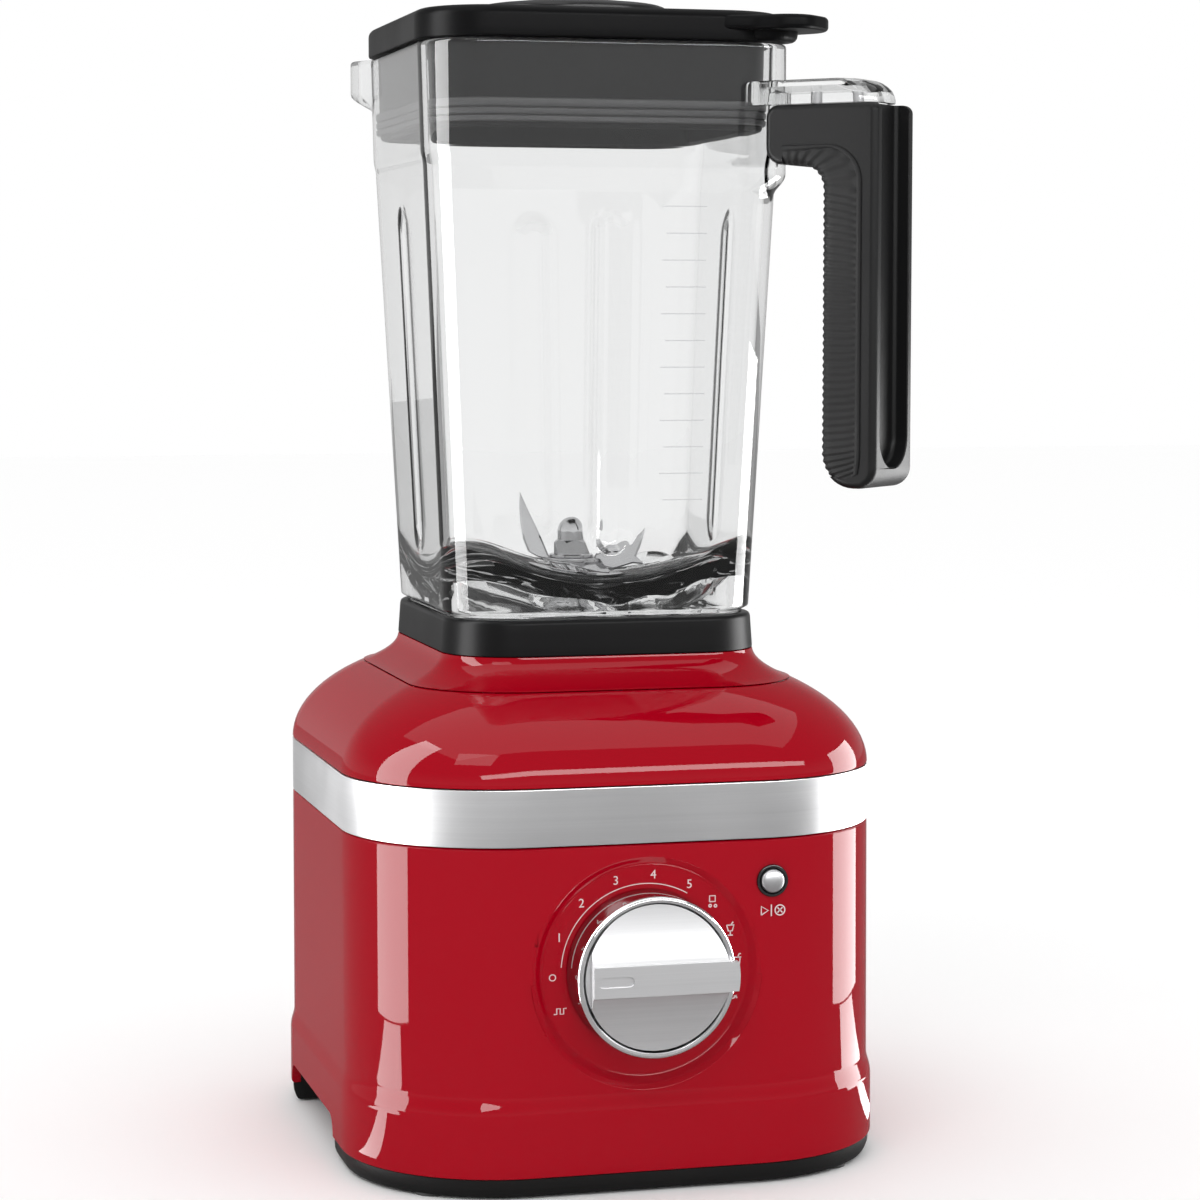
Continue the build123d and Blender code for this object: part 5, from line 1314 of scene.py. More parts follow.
    def build_bracket(self) -> None:
        """Makes the clear hollow bracket above the handle's arm."""
        top = cad("jar")[1].z
        z0, z1 = top - 21.9, top - 13.3
        centre, radius = self.channel[0], self.channel[1] + 0.06
        half, end = self.bracket_width / 2, self.bracket_end

        def outline(inset: float, root: float) -> list[tuple[float, float]]:
            """Plan of the bracket: hollowed root on the channel and a rounded far end."""
            wide = half - inset
            sweep = math.asin(wide / (radius + root)) if wide < radius + root else 1.4
            points = [(centre + (radius + root) * math.cos(sweep * s / 4),
                       (radius + root) * math.sin(sweep * s / 4)) for s in range(-4, 5)]
            points += [(centre + 20, wide), (100, wide), (110, wide)]
            bend = 9.0 - inset
            points += [(end - inset - bend + bend * math.cos(a), wide - bend + bend * math.sin(a))
                       for a in (math.pi / 2 * (1 - i / 8) for i in range(9))]
            points += [(x, -y) for x, y in reversed(points[9:])]
            return points

        def row(inset: float, root: float, z: float, tip: float = 0.0) -> Ring:
            """Ring of the bracket with its far end pulled in by tip."""
            return [(x - tip * smoothstep((x - 100) / (end - 100)), y, z)
                    for x, y in outline(inset, root)]

        solid = ((0.0, 0.0, z0 + 0.2), (0.0, 0.0, z0 + 1.5), (0.0, 0.0, z0 + 3.0, 0.4),
                 (0.0, 0.0, z0 + 4.6, 1.3), (0.0, 0.0, z0 + 6.0, 2.8), (0.15, 0.0, z1 - 1.3, 4.6),
                 (0.5, 0.0, z1 - 0.5, 6.4), (1.2, 0.2, z1 - 0.05, 8.4), (2.2, 0.5, z1, 9.8))
        space = ((2.4, 2.2, z0 - 1.0), (2.5, 2.2, z0 + 3.0, 1.0), (2.7, 2.2, z1 - 4.0, 3.6),
                 (3.4, 2.2, z1 - 2.3, 8.2), (4.5, 2.4, z1 - 2.3, 9.0))
        bracket = Bench.skin("jar_bracket", [row(*sizes) for sizes in solid])
        hollow = Bench.skin("bracket_cutter", [row(*sizes) for sizes in space])
        Bench.merge(bracket, hollow)
        Bench.pose(bracket, (("Z", -45),))
        Bench.polish(bracket, math.radians(40))
        Fit.on(bracket, Body.JAR, CLEAR_JAR, "clear_jar")

    def build_scale(self) -> None:
        """Makes the generic level marks on the front wall."""
        marks: list[Piece] = []
        for index in range(self.scale_marks):
            z = self.scale_start + index * self.scale_pitch
            half = self.section(z)[0]
            left = 18.5 if index % 2 == 0 else 17.0
            marks.append(Bench.block("scale_mark", (left, -half - 0.09, z - 0.17),
                                     (33.0, -half + 0.02, z + 0.17)))
        scale = Bench.join(marks)
        scale.name = scale.data.name = "level_marks"
        Fit.on(scale, Body.JAR, SCALE_PRINT, None)

    def build(self) -> None:
        """Makes the jar's clear parts."""
        self.build_wall()
        self.build_bracket()
        self.build_scale()


# ---------------------------------------------------------------- handle
@dataclass
class SideHandle:
    """Rigid handle with a groove down its outer face and a ribbed soft insert."""

    outer: float = 130.0
    inner: float = 109.0
    width: float = 31.0
    root: float = 87.0
    arm_depth: float = 20.5
    insert_outer: float = 124.5
    insert_start: float = 94.0
    insert_rise: float = 6.5
    skin_thick: float = 2.6
    rib_pitch: float = 2.55
    rib_rise: float = 0.5
    rib_pitch_fade: float = 2.5
    bead_width: float = 2.3
    groove_width: float = 22.0
    groove_depth: float = 5.5

    def build(self) -> None:
        """Makes the rigid part and the soft insert."""
        low, high = cad("handle_grip")
        z0, z1 = low.z, high.z
        arm = z1 - self.arm_depth
        outline = sweep_corner(
            [(self.root, arm), (self.inner, arm), (self.inner, z0), (self.outer, z0), (self.outer, z1),
             (self.root, z1)], [6.0, 9.0, 12.0, 7.0, 3.0, 4.5], 10)
        grip = Bench.plate("grip_core", outline, self.width)
        Bench.soften(grip, 2.4, 5, 40)
        Bench.pose(grip, (("X", 90),), (0, self.width / 2, 0))
        foot = z0 + 7.0
        half = self.groove_width / 2
        slot = sweep_corner([(-half, foot), (half, foot), (half, z1 + 20), (-half, z1 + 20)],
                            [half - 0.5, half - 0.5, 0, 0], 10)
        cutter = Bench.plate("groove_cutter", slot, 20)
        Bench.pose(cutter, (("X", 90), ("Z", 90)), (self.outer - self.groove_depth, 0, 0))
        Bench.soften(cutter, 1.6, 4, 50)
        Bench.merge(grip, cutter)
        self.cut_recess(grip, z0, arm)

        def groove_rim(a: Vector, b: Vector) -> bool:
            """Whether an edge lies on the groove's rim."""
            return all(p.x > self.outer - 0.05 and abs(p.y) < half + 0.3 and p.z > foot - 0.5
                       for p in (a, b))

        Bench.soften_where(grip, groove_rim, 0.5, 3)
        Bench.pose(grip, (("Z", -45),))
        Bench.polish(grip)
        Fit.on(grip, Body.JAR, HANDLE_BLACK, "handle_black", "handle_grip")
        self.build_insert(z0, arm)

    def cut_recess(self, grip: Piece, z0: float, arm: float) -> None:
        """Lets the soft insert's bed into both sides of the handle."""
        rise = self.insert_rise
        bed = sweep_corner(
            [(self.insert_start, arm - 30), (self.insert_start, arm + rise),
             (self.insert_outer, arm + rise), (self.insert_outer, z0 + 4.0), (self.inner - 8, z0 + 4.0),
             (self.inner - 8, arm - 30)], [0, 0, 13.0, 5.0, 0, 0], 10)
        core = sweep_corner(
            [(self.insert_start - 2, arm + 2.4), (self.inner + 2.4, arm + 2.4),
             (self.inner + 2.4, z0 + 2.0), (self.insert_outer + 3, z0 + 2.0),
             (self.insert_outer + 3, arm + rise + 3), (self.insert_start - 2, arm + rise + 3)],
            [0, 9.0, 10.0, 0, 0, 0], 10)
        zone = Bench.plate("bed_cutter", bed, self.width + 4)
        Bench.pose(zone, (("X", 90),), (0, self.width / 2 + 2, 0))
        keep_width = self.width - 2 * self.skin_thick + 0.2
        keep = Bench.plate("bed_core", core, keep_width)
        Bench.pose(keep, (("X", 90),), (0, keep_width / 2, 0))
        Bench.merge(zone, keep)
        Bench.merge(grip, zone)

    def paths(self, z0: float, arm: float) -> tuple[list[Vector], list[Vector]]:
        """Matching points along the insert's inner edge and its outer bead, in the handle's plane."""
        inner: list[Vector] = []
        bead: list[Vector] = []

        def arc(cx: float, cz: float, radius: float, degrees: float) -> Vector:
            """Point on an arc, its angle from the +X side."""
            a = math.radians(degrees)
            return Vector((cx + radius * math.cos(a), cz + radius * math.sin(a)))

        start, rise, top = self.insert_start, self.insert_rise, arm
        bend, inner_bend, foot_bend = 13.0, 9.0, 12.0
        flat_run, bend_run, fall_run = 7.5, 20.4, 5.5
        steps_a, steps_b, steps_c, steps_d = 12, 36, 172, 30
        for i in range(steps_a):
            s = i / steps_a
            inner.append(Vector((start + 6.0 * s, top)))
            bead.append(Vector((start + 10.0 * s, top + rise)))
        for i in range(steps_b):
            s = i / steps_b
            inner.append(arc(start + 6.0, top - inner_bend, inner_bend, 90 - 90 * s))
            gone = (flat_run + bend_run + fall_run) * s
            if gone < flat_run:
                bead.append(Vector((start + 10.0 + gone, top + rise)))
            elif gone < flat_run + bend_run:
                bead.append(arc(self.insert_outer - bend, top + rise - bend, bend,
                                90 - (gone - flat_run) / bend_run * 90))
            else:
                drop = gone - (flat_run + bend_run)
                bead.append(Vector((self.insert_outer, top + rise - bend - drop)))
        z_in, z_out = top - inner_bend, top + rise - bend - fall_run
        low_in, low_out = z0 + 12.4, z0 + 14.0
        for i in range(steps_c):
            s = i / steps_c
            inner.append(Vector((start + 15.0, z_in + (low_in - z_in) * s)))
            bead.append(Vector((self.insert_outer, z_out + (low_out - z_out) * s)))
        for i in range(steps_d + 1):
            s = i / steps_d
            inner.append(arc(start + 15.0 + foot_bend, low_in, foot_bend, 180 + 62 * s))
            bead.append(Vector((self.insert_outer - 0.8 * s * s, low_out + (z0 + 5.2 - low_out) * s)))
        return inner, bead

    def build_insert(self, z0: float, arm: float) -> None:
        """Makes the ribbed soft insert as a U-shaped skin along the handle's inner edge."""
        inner, bead = self.paths(z0, arm)
        half, corner, thick = self.width / 2 + 0.12, 4.2, self.skin_thick
        rows: list[Ring] = []
        travelled = 0.0
        total = sum((b - a).length for a, b in zip(inner, inner[1:]))
        for index, (near, far) in enumerate(zip(inner, bead)):
            if index:
                travelled += (near - inner[index - 1]).length
            across = far - near
            span = across.length
            shoulder = span - self.bead_width
            ahead = across.normalized()
            fade = smoothstep(travelled / self.rib_pitch_fade) * smoothstep(
                (total - travelled) / self.rib_pitch_fade)
            wave = 0.5 - 0.5 * math.cos(2 * math.pi * travelled / self.rib_pitch)
            rib = self.rib_rise * wave * fade

            def point(u: float, t: float, out_u: float, out_t: float, lift: float) -> Point:
                """Point of the U section, lifted along its outward normal."""
                place = near + ahead * (u + out_u * lift)
                return (place.x, t + out_t * lift, place.y)

            ring: Ring = []
            for side in (1, -1):
                line = [point(span - depth, side * half, 0, side, lift) for depth, lift in (
                    (0.0, 0.05), (0.3, 0.42), (0.9, 0.6), (1.5, 0.42), (1.95, 0.0))]
                for k in range(1, 7):
                    u = shoulder + (corner - shoulder) * (k / 6) if shoulder > corner else shoulder
                    line.append(point(u, side * half, 0, side, rib))
                u0 = min(corner, shoulder)
                for k in range(1, 6):
                    a = math.pi / 2 * k / 6
                    t = side * (half - corner + corner * math.cos(a))
                    line.append(point(u0 - u0 * math.sin(a), t, -math.sin(a), side * math.cos(a), rib))
                for k in range(4):
                    line.append(point(0.0, side * (half - corner) * (1 - k / 4), -1, 0, rib))
                if side == 1:
                    ring += line
                else:
                    ring += [point(0.0, 0.0, -1, 0, rib)] + list(reversed(line))
            middle = max(span * 0.5, thick)
            back = [point(u, t, 0, 0, 0) for u, t in (
                (span, -half + thick), (middle, -half + thick), (thick, -half + thick + 1.5), (thick, 0),
                (thick, half - thick - 1.5), (middle, half - thick), (span, half - thick))]
            rows.append(ring + back)
        insert = Bench.skin("grip_skin", rows, Ends.FILLED)
        Bench.pose(insert, (("Z", -45),))
        Bench.polish(insert, math.radians(50))
        Fit.on(insert, Body.JAR, SOFT_GRIP, "soft_grip", "grip_insert")


# ---------------------------------------------------------------- blades
@dataclass
class BladeUnit:
    """Blade cartridge in the jar's floor: flange, blades, washer and domed nut."""

    thick: float = 1.6
    hub: float = 11.0
    shaft: float = 4.0
    facing: float = -14.8

    def blade(self, name: str, z: float, arms: Sequence[tuple[Outline, float, float]],
              wings: Sequence[tuple[Outline, float, float, float]] = ()) -> Piece:
        """Makes one stamped blade: a round hub with arms and upturned wings.

        Args:
            name: Name of the piece.
            z: Height of the plate's underside.
            arms: For each arm its outline from the root outwards, its lift and its turn in degrees.
            wings: For each wing its upright outline (across, height), lift, turn and distance from the
                axis along Y.

        Returns:
            The blade.
        """
        hub = Bench.rod(name, self.hub, z, z + self.thick, steps=72)
        Bench.soften(hub, 0.25, 2)
        plates = []
        for outline, lift, turn in arms:
            arm = Bench.plate("arm", outline, self.thick)
            Bench.soften_where(
                arm, lambda a, b: min(a.z, b.z) > self.thick - 0.05 and min(a.x, b.x) > 3.0, 0.55, 1)
            plates.append(Bench.pose(arm, (("Y", -lift),), (self.hub - 0.7, 0, 0)))
            Bench.pose(arm, (("Z", turn),), (0, 0, z + 0.01))
        for outline, lift, turn, out in wings:
            wing = Bench.plate("wing", outline, self.thick)
            Bench.soften_where(wing, lambda a, b: min(a.z, b.z) > self.thick - 0.05, 0.6, 1)
            Bench.pose(wing, (("X", lift),), (0, out, z + 0.3))
            plates.append(Bench.pose(wing, (("Z", turn),)))
        for plate in plates:
            Bench.merge(hub, plate, "UNION")
        bore = Bench.rod("bore", self.shaft - 0.03, z - 3, z + self.thick + 3, steps=48)
        Bench.merge(hub, bore)
        Bench.polish(hub, math.radians(25))
        return hub

    def build_blades(self) -> None:
        """Makes the upper and lower blade."""
        z_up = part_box("blade_washer")[0].z / MM - self.thick - 0.04
        fang = [(-7.0, 0.0), (-8.6, 2.2), (-10.4, 6.6), (-12.8, 12.0), (-15.8, 18.2), (-19.1, 25.6),
                (-19.3, 20.0), (-18.9, 14.0), (-17.8, 8.0), (-16.0, 3.4), (-13.0, 0.4), (-10.0, -0.4)]
        tail = [(8.0, 0.6), (9.6, 3.6), (12.4, 9.0), (15.6, 6.8), (19.4, 6.2), (23.0, 8.6), (27.0, 12.4),
                (25.4, 6.4), (23.6, 1.6), (26.0, -0.8), (26.4, -2.6), (22.4, -1.4), (19.0, -3.2),
                (15.4, -5.0), (11.6, -3.4), (10.4, -0.2)]
        upper = self.blade("upper_blade_steel", z_up, (),
                           ((fang, 76.0, self.facing, -2.0), (tail, 72.0, self.facing, -3.0)))
        Fit.on(upper, Body.BLADES, BLADE_STEEL, "blade_steel", "upper_blade")
        spear = [(-3.5, -6.2), (3.0, -6.4), (11.0, -5.2), (17.5, -3.0), (21.0, 0.0), (16.0, 2.8),
                 (9.0, 4.8), (3.0, 6.0), (-3.5, 6.2)]
        hub_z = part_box("bearing_housing")[1].z / MM + 0.6
        lower = self.blade("lower_blade_steel", hub_z, ((spear, -14.0, -78.0), (spear, -8.0, 102.0)))
        Fit.on(lower, Body.BLADES, BLADE_STEEL, "blade_steel", "lower_blade")

    def build_nut(self) -> None:
        """Makes the washer and the domed nut."""
        low, high = cad("blade_washer")
        r = high.x
        bore = self.shaft - 0.03
        washer = Bench.lathe("washer", [(bore, low.z), (r - 0.3, low.z), (r, low.z + 0.3),
                                        (r, high.z - 0.35), (r - 0.35, high.z), (bore, high.z)])
        Bench.polish(washer)
        Fit.on(washer, Body.BLADES, BLADE_STEEL, "blade_steel", "blade_washer")
        low, high = cad("acorn_nut")
        hex_top, radius = low.z + 5.0, 5.2
        Bench.clear()
        bpy.ops.mesh.primitive_cylinder_add(vertices=6, radius=6.7 * MM, depth=5.0 * MM,
                                            location=(0, 0, (low.z + 2.5) * MM),
                                            rotation=(0, 0, math.pi / 6))
        nut = Bench.named("domed_nut")
        Bench.settle(nut)
        cone = Bench.lathe("chamfer", [(10.8, low.z - 0.01), (5.6, low.z + 5.2), (0.0, low.z + 5.2),
                                       (0.0, low.z - 0.01)])
        Bench.merge(nut, cone, "INTERSECT")
        top = high.z
        profile = [(0.0, hex_top - 1.0), (radius, hex_top - 1.0), (radius, top - radius)]
        profile += [(radius * math.cos(a), top - radius + radius * math.sin(a))
                    for a in (math.pi / 2 * i / 14 for i in range(1, 15))]
        dome = Bench.lathe("dome_nut", profile, 64, Ends.FILLED)
        Bench.merge(nut, dome, "UNION")
        Bench.merge(nut, Bench.rod("nut_bore", bore, low.z - 2, low.z + 8, steps=48))
        Bench.polish(nut)
        Fit.on(nut, Body.BLADES, BLADE_STEEL, "blade_steel", "acorn_nut")

    def build_hub(self) -> None:
        """Makes the cartridge's flange and neck in the jar."""
        low, high = cad("bearing_housing")
        flange = high.x
        z1 = high.z
        top = 193.8
        profile = [(13.8, low.z + 0.4), (13.8, top), (flange - 0.3, top), (flange, top + 0.4),
                   (flange, top + 2.3), (flange - 0.6, top + 2.9), (flange - 1.4, top + 3.0),
                   (11.6, top + 3.3), (10.2, top + 4.0), (9.5, top + 5.2), (9.5, z1 - 0.6),
                   (9.1, z1 - 0.15), (8.5, z1), (6.9, z1), (6.5, z1 - 0.4), (6.5, low.z + 14.0),
                   (11.0, low.z + 14.0), (11.0, low.z + 0.4)]
        hub = Bench.lathe("blade_hub", profile)
        Bench.polish(hub)
        Fit.on(hub, Body.JAR, BLADE_STEEL, "frame_aluminium", "bearing_housing")

    def build(self) -> None:
        """Makes the blade unit."""
        self.build_hub()
        self.build_blades()
        self.build_nut()


# ---------------------------------------------------------------- lid and cap
@dataclass
class LidAndCap:
    """Black lid with a plug, its gasket and the round fill cap."""

    jar: ClearJar
    rim: tuple[float, float] = (66.3, 26.0)
    neck: float = 27.35
    tab_reach: float = 101.0

    def plug(self, z: float, inset: float = 0.0) -> tuple[float, float]:
        """Half width and corner radius of the lid's plug at a height."""
        half, radius = self.jar.section(z)
        return half - self.jar.wall - 1.9 - inset, radius - self.jar.wall - 0.6 - inset

    def square(self, half: float, radius: float, z: float) -> Ring:
        """Ring of a rounded square."""
        return rounded_ring(half, half, radius, z, 22, 8)

    def plug_row(self, z: float, inset: float = 0.0) -> Ring:
        """Ring of the lid's plug at a height."""
        return self.square(*self.plug(z, inset), z)

    def build_lid(self) -> None:
        """Makes the lid: rim, plug, cap neck and the tab over the handle."""
        low, high = cad("lid")
        z0, z1, plug_z = self.jar.stations[-1][0] + 0.5, high.z, low.z
        half, radius = self.rim
        guide = self.square(half, radius, z1)
        rows = [self.plug_row(z0)]
        rows += [self.square(half - inset, radius - inset, z) for inset, z in (
            (0.7, z0), (0.2, z0 + 0.2), (0.0, z0 + 0.7), (0.0, z0 + 3.5), (0.0, z1 - 3.4))]
        edge = 3.2
        rows += [self.square(half - edge * (1 - math.cos(a)), radius - edge * (1 - math.cos(a)),
                             z1 - edge * (1 - math.sin(a)) - 0.1)
                 for a in (math.pi / 2 * i / 8 for i in range(1, 9))]
        rows += [self.square(half - 7, radius - 6.5, z1 - 0.03), self.square(half - 14, radius - 9, z1)]
        rows += [circle_like(guide, reach, z1 - down) for reach, down in (
            (44.0, 0), (39.0, 0), (37.6, 0.15), (36.6, 0.9), (35.4, 1.1), (29.2, 1.1))]
        rows += [circle_like(guide, self.neck + wider, z) for wider, z in (
            (0.7, z1 - 1.1), (0.1, z1 - 1.5), (0, z1 - 2.4), (0, plug_z + 7.0), (0.6, plug_z + 6.1),
            (2.4, plug_z + 6.1), (3.0, plug_z + 7.0), (3.0, z1 - 5.2), (5.0, z1 - 4.2))]
        rows += [self.plug_row(z, inset) for z, inset in (
            (z1 - 4.2, 4.2), (z1 - 6.0, 3.0), (385.0, 3.0), (375.0, 3.0), (plug_z + 1.0, 3.0))]
        rows += [self.square(*self.plug(plug_z, inset), plug_z + up) for inset, up in (
            (2.3, 0.2), (1.5, 0), (0.8, 0.25), (0.25, 0.8), (0, 1.8))]
        rows += [self.plug_row(z) for z in (368.0, 376.0, 384.0, 390.0)]
        lid = Bench.skin("lid_shell", rows, Ends.JOINED)
        tip = self.tab_reach
        outline = sweep_corner(
            [(46, -24), (72, -21), (84, -15.5), (tip, -13.5), (tip, 13.5), (84, 15.5), (72, 21),
             (46, 24)],
            [0, 26, 14, 11.5, 11.5, 14, 26, 0], 9)
        tab = Bench.plate("lid_tab", outline, 5.0)
        Bench.soften(tab, 1.5, 4, 60)
        Bench.pose(tab, (("Z", -45),), (0, 0, z1 - 7.0))
        boss_outline = sweep_corner([(52, -11), (90, -11), (90, 11), (52, 11)], [0, 9, 9, 0], 8)
        boss = Bench.plate("tab_boss", boss_outline, 7.0)
        Bench.soften(boss, 2.6, 4, 60)
        Bench.pose(boss, (("Z", -45),), (0, 0, z0 + 0.1))
        Bench.merge(lid, tab, "UNION")
        Bench.merge(lid, boss, "UNION")
        Bench.polish(lid)
        Fit.on(lid, Body.LID, LID_BLACK, "lid_black", "lid")

    def build_gasket(self) -> None:
        """Makes the lid's gasket with three sealing ridges."""
        low, high = cad("lid_gasket")
        z0, z1 = low.z, high.z
        stack: list[tuple[float, float]] = [(0.0, z0), (-0.9, z0), (-1.35, z0 + 0.35)]
        pitch = (z1 - z0) / 3
        for index in range(3):
            z = z0 + pitch * index
            stack += [(-1.4, z + 0.6), (-1.4, z + pitch - 1.0), (-1.15, z + pitch - 0.8),
                      (-0.6, z + pitch - 0.5), (-1.15, z + pitch - 0.15)]
        stack = stack[:-3] + [(-1.35, z1 - 0.35), (-0.9, z1), (0.0, z1)]
        rows = [self.plug_row(z, inset) for inset, z in stack]
        gasket = Bench.skin("gasket_ring", rows, Ends.JOINED)
        Bench.polish(gasket)
        Fit.on(gasket, Body.LID, GASKET_GREY, "gasket_grey", "lid_gasket")

    def build_cap(self) -> None:
        """Makes the fill cap with its hollow plug."""
        low, high = cad("fill_cap")
        top, base, foot = high.z, high.z - 7.5, low.z
        profile = [(24.5, foot + 0.3), (26.4, foot), (27.0, foot + 0.7), (27.0, base), (33.6, base),
                   (34.7, base + 0.3), (35.0, base + 0.9), (35.0, base + 2.9), (34.75, base + 3.8),
                   (34.1, base + 4.5), (33.0, base + 4.9), (31.8, base + 4.95), (31.0, base + 5.0)]
        profile += [(r, base + 5.0 + (top - base - 5.0) * (1 - (r / 31.0) ** 2))
                    for r in (28, 24, 19, 14, 9, 4, 0.0)]
        under = [(0.0, top - 4.6), (22.0, top - 5.0), (24.0, top - 5.6), (24.5, top - 7.0)]
        cap = Bench.lathe("cap_shell", profile + under, 112)
        Bench.polish(cap)
        Fit.on(cap, Body.CAP, CAP_BLACK, "cap_black", "fill_cap")

    def build(self) -> None:
        """Makes the lid, gasket and cap."""
        self.build_lid()
        self.build_gasket()
        self.build_cap()


# ---------------------------------------------------------------- inside parts
INSIDE: dict[Finish, tuple[str, ...]] = {
    DUCT_BLACK: ("bottom_cover", "cooling_duct", "brush_holders"),
    PAD_RUBBER: ("rubber_pads", "cord_inlet", "motor_mounts"),
    SCREW_STEEL: ("cover_screws", "case_screws", "neck_screws", "seat_screws", "motor_screws",
                  "tie_screws", "grip_screws"),
    FRAME_ALLOY: ("upper_frame", "lower_frame"),
    LAMINATION: ("motor_stator", "armature"),
    COPPER: ("stator_windings", "armature_windings"),
    BRASS: ("commutator",),
    CARBON: ("carbon_brushes",),
    BEARING_STEEL: ("upper_bearing", "lower_bearing", "blade_bearings"),
    BOARD_GREEN: ("control_board",),
    SWITCH_BLACK: ("speed_switch", "button_switch", "retaining_nut"),
    SHAFT_STEEL: ("motor_shaft", "knob_shaft", "blade_shaft"),
    FAN_BLACK: ("cooling_fan",),
    COUPLER_BLACK: ("drive_coupler", "jar_coupler"),
    GASKET_GREY: ("jar_gasket", "shaft_seal"),
}


def dress_inside() -> None:
    """Gives every carried-over CAD node its finish."""
    for finish, nodes in INSIDE.items():
        for node in nodes:
            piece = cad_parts[node]
            for slot in piece.material_slots:
                slot.material = finish.material()
            if not piece.material_slots:
                piece.data.materials.append(finish.material())
            LOG.info("%s dressed as %s", node, finish.name)


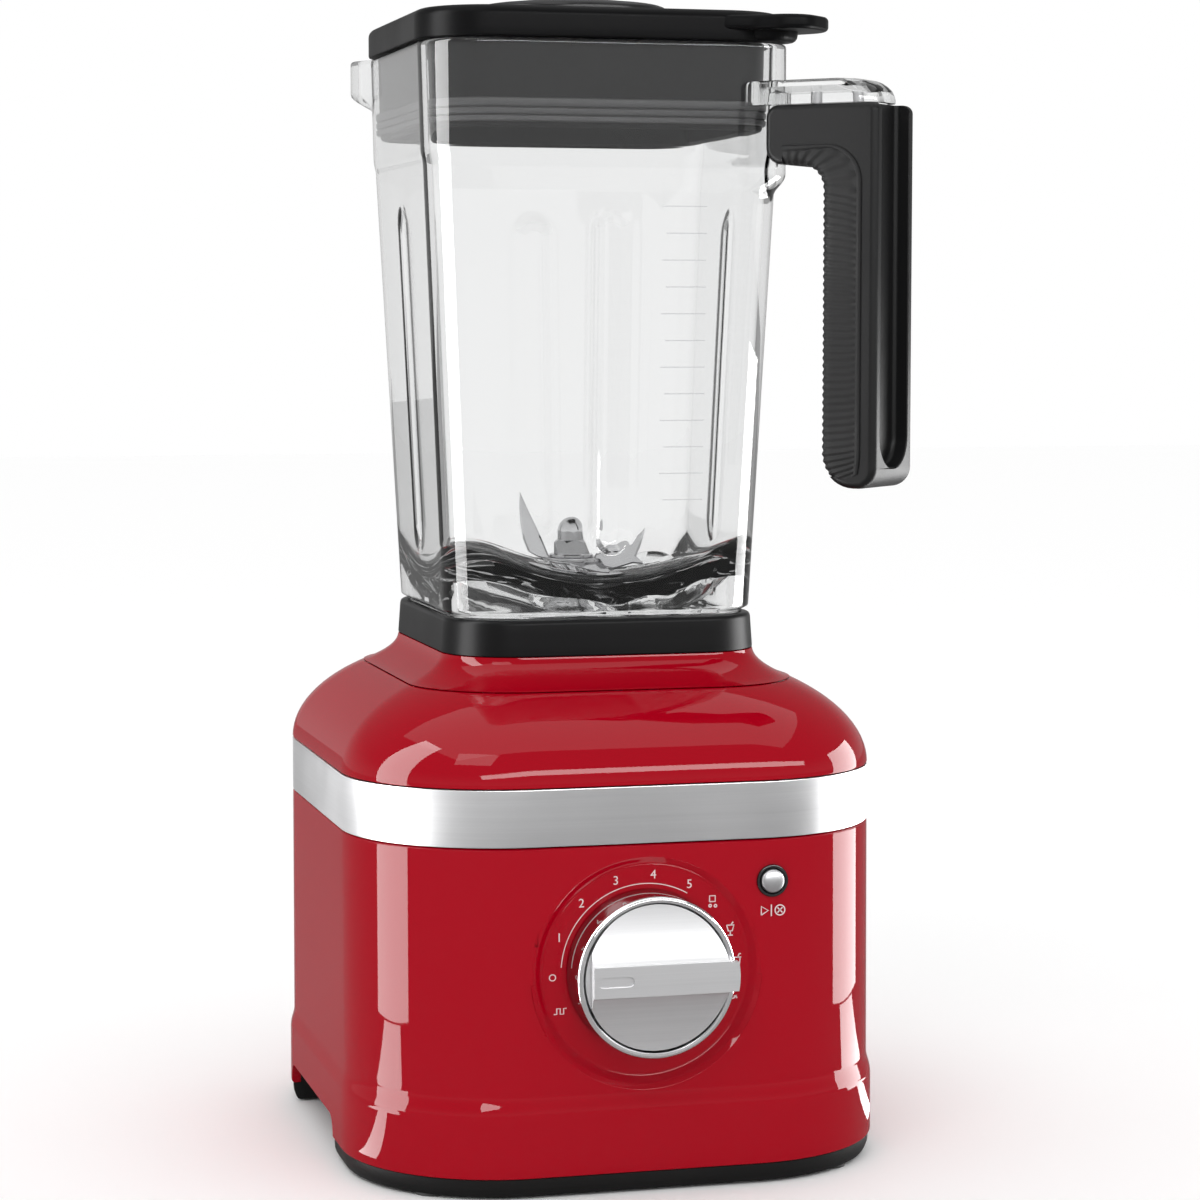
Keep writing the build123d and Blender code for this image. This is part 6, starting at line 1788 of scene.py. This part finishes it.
# ---------------------------------------------------------------- studio
@dataclass
class Studio:
    """Pale floor, soft lights and the camera.

    Attributes:
        eye: Place of the camera in millimetres.
        pitch: Its tilt in degrees.
        heading: Its turn about Z in degrees.
        lens: Focal length in millimetres.
        floor_half: Half width of the floor in metres.
        mirrored_light: Strength of the world where it is mirrored, level and higher up.
        fade_top: Height of the direction at which the higher strength is reached.
        jar_share: How much of that strength the rays through the jar leave out.
        panel_x: Distance of the side panels from the axis in metres.
        panel_power: Power of the side panels and strips in watts per square metre.
        sides: Name, side, Y, width and height of the side panels, in metres.
        strips: Name, distance from the axis, length and share of the panel's width of each strip.
    """

    eye: Point = (-295.2, -1161.8, 297.1)
    pitch: float = 85.099
    heading: float = -14.765
    lens: float = 98.13
    floor_half: float = 6.0
    mirrored_light: tuple[float, float] = (0.6, 0.3)
    fade_top: float = 0.4
    jar_share: float = 0.5
    panel_x: float = 0.37
    panel_power: float = 33.0
    sides: tuple[tuple[str, int, float, float, float], ...] = (
        ("left", -1, -0.055, 0.16, 0.64), ("right", 1, -0.027, 0.19, 0.26))
    strips: tuple[tuple[str, float, float, float], ...] = (
        ("_far_strip", 0.28, 0.16, 0.5), ("_near_strip", 0.16, 0.08, 0.14))

    def build_floor(self) -> None:
        """Makes the pale floor with a procedural finish."""
        Bench.clear()
        bpy.ops.mesh.primitive_plane_add(size=2 * self.floor_half, location=(0, 0, 0))
        floor = bpy.context.object
        floor.name = floor.data.name = "floor"
        floor.data.materials.append(Finish("floor_paper", (0.985, 0.985, 0.985), 0.002, 1.0, (0.8, 0.9),
                                           specular=0.0, grain=60.0, relief=0.01).material())

    def light(self, name: str, place: Point, target: Point, size: tuple[float, float], power: float,
              panel: bool = False) -> None:
        """Adds a soft rectangular light.

        Args:
            name: Name of the light.
            place: Its centre in metres.
            target: Point that it faces, in metres.
            size: Width and height in metres.
            power: Power in watts.
            panel: Whether it is only mirrored by glossy surfaces and casts no light of its own.
        """
        Bench.clear()
        bpy.ops.object.light_add(type="AREA", location=place)
        lamp = bpy.context.object
        lamp.name = lamp.data.name = name
        lamp.data.shape = "RECTANGLE"
        lamp.data.size, lamp.data.size_y = size
        lamp.data.energy = power
        aim = Vector(target) - Vector(place)
        lamp.rotation_euler = aim.to_track_quat("-Z", "Y").to_euler()
        lamp.visible_camera = lamp.visible_transmission = False
        lamp.visible_diffuse = not panel

    def build_world(self) -> None:
        """Makes a white backdrop that lights the object softly."""
        world = bpy.data.worlds.new("studio")
        bpy.context.scene.world = world
        world.use_nodes = True
        tree = world.node_tree
        seen = tree.nodes["Background"]
        seen.inputs["Color"].default_value = (1, 1, 1, 1)
        seen.inputs["Strength"].default_value = 1.0
        soft = add_node(tree, "Background", Color=(1, 1, 1, 1))
        where, height = add_node(tree, "TexCoord"), add_node(tree, "SeparateXYZ")
        low, high = self.mirrored_light
        fade = add_node(tree, "MapRange", From_Max=self.fade_top, To_Min=low, To_Max=high)
        fade.interpolation_type = "SMOOTHSTEP"
        path, mix = add_node(tree, "LightPath"), add_node(tree, "MixShader")
        mirrored = add_math(tree, "MULTIPLY_ADD", -self.jar_share)
        mirrored.use_clamp = True
        wire(tree, (where, "Generated", height, 0), (height, "Z", fade, "Value"),
             (fade, "Result", soft, "Strength"), (path, "Is Transmission Ray", mirrored, 0),
             (path, "Glossy Depth", mirrored, 2), (mirrored, 0, mix, 0), (seen, 0, mix, 1),
             (soft, 0, mix, 2), (mix, 0, tree.nodes["World Output"], "Surface"))

    def build_camera(self) -> None:
        """Places the camera."""
        Bench.clear()
        bpy.ops.object.camera_add(location=Vector(self.eye) * MM,
                                  rotation=(math.radians(self.pitch), 0, math.radians(self.heading)))
        camera = bpy.context.object
        camera.data.lens = self.lens
        camera.data.sensor_width = 36.0
        bpy.context.scene.camera = camera
        bpy.context.scene.view_settings.view_transform = "Standard"

    def build(self) -> None:
        """Makes the whole set."""
        self.build_camera()
        self.build_world()
        self.build_floor()
        for name, side, y, wide, tall in self.sides:
            middle = tall / 2
            self.light(name + "_panel", (side * self.panel_x, y, middle), (0, y, middle), (wide, tall),
                       self.panel_power * wide * tall, True)
            for strip, x, length, share in self.strips:
                power = self.panel_power * length * share * wide
                self.light(name + strip, (side * x, y, 0.001), (side * x, y, 1), (length, wide * share),
                           power, True)
        self.light("top_panel", (0.1, -0.1, 1.7), (0.1, -0.1, 0), (2.6, 1.9), 18, True)
        self.light("front_panel", (0.5, -1.75, 0.86), (0, 0, 0.15), (3.2, 0.3), 30, True)
        self.light("key_box", (-1.1, -1.6, 2.3), (0, 0, 0.15), (1.2, 0.9), 9)


def main() -> None:
    """Builds every sub-assembly in order."""
    case = PaintedCase()
    jar = ClearJar()
    builders = (Studio(), case, Controls(case), jar, SideHandle(), BladeUnit(), LidAndCap(jar))
    for builder in builders:
        LOG.info("building %s", type(builder).__name__)
        builder.build()
    dress_inside()
    LOG.info("%d pieces made", Fit.count)


if __name__ == "__main__":
    main()
    Bench.clear()
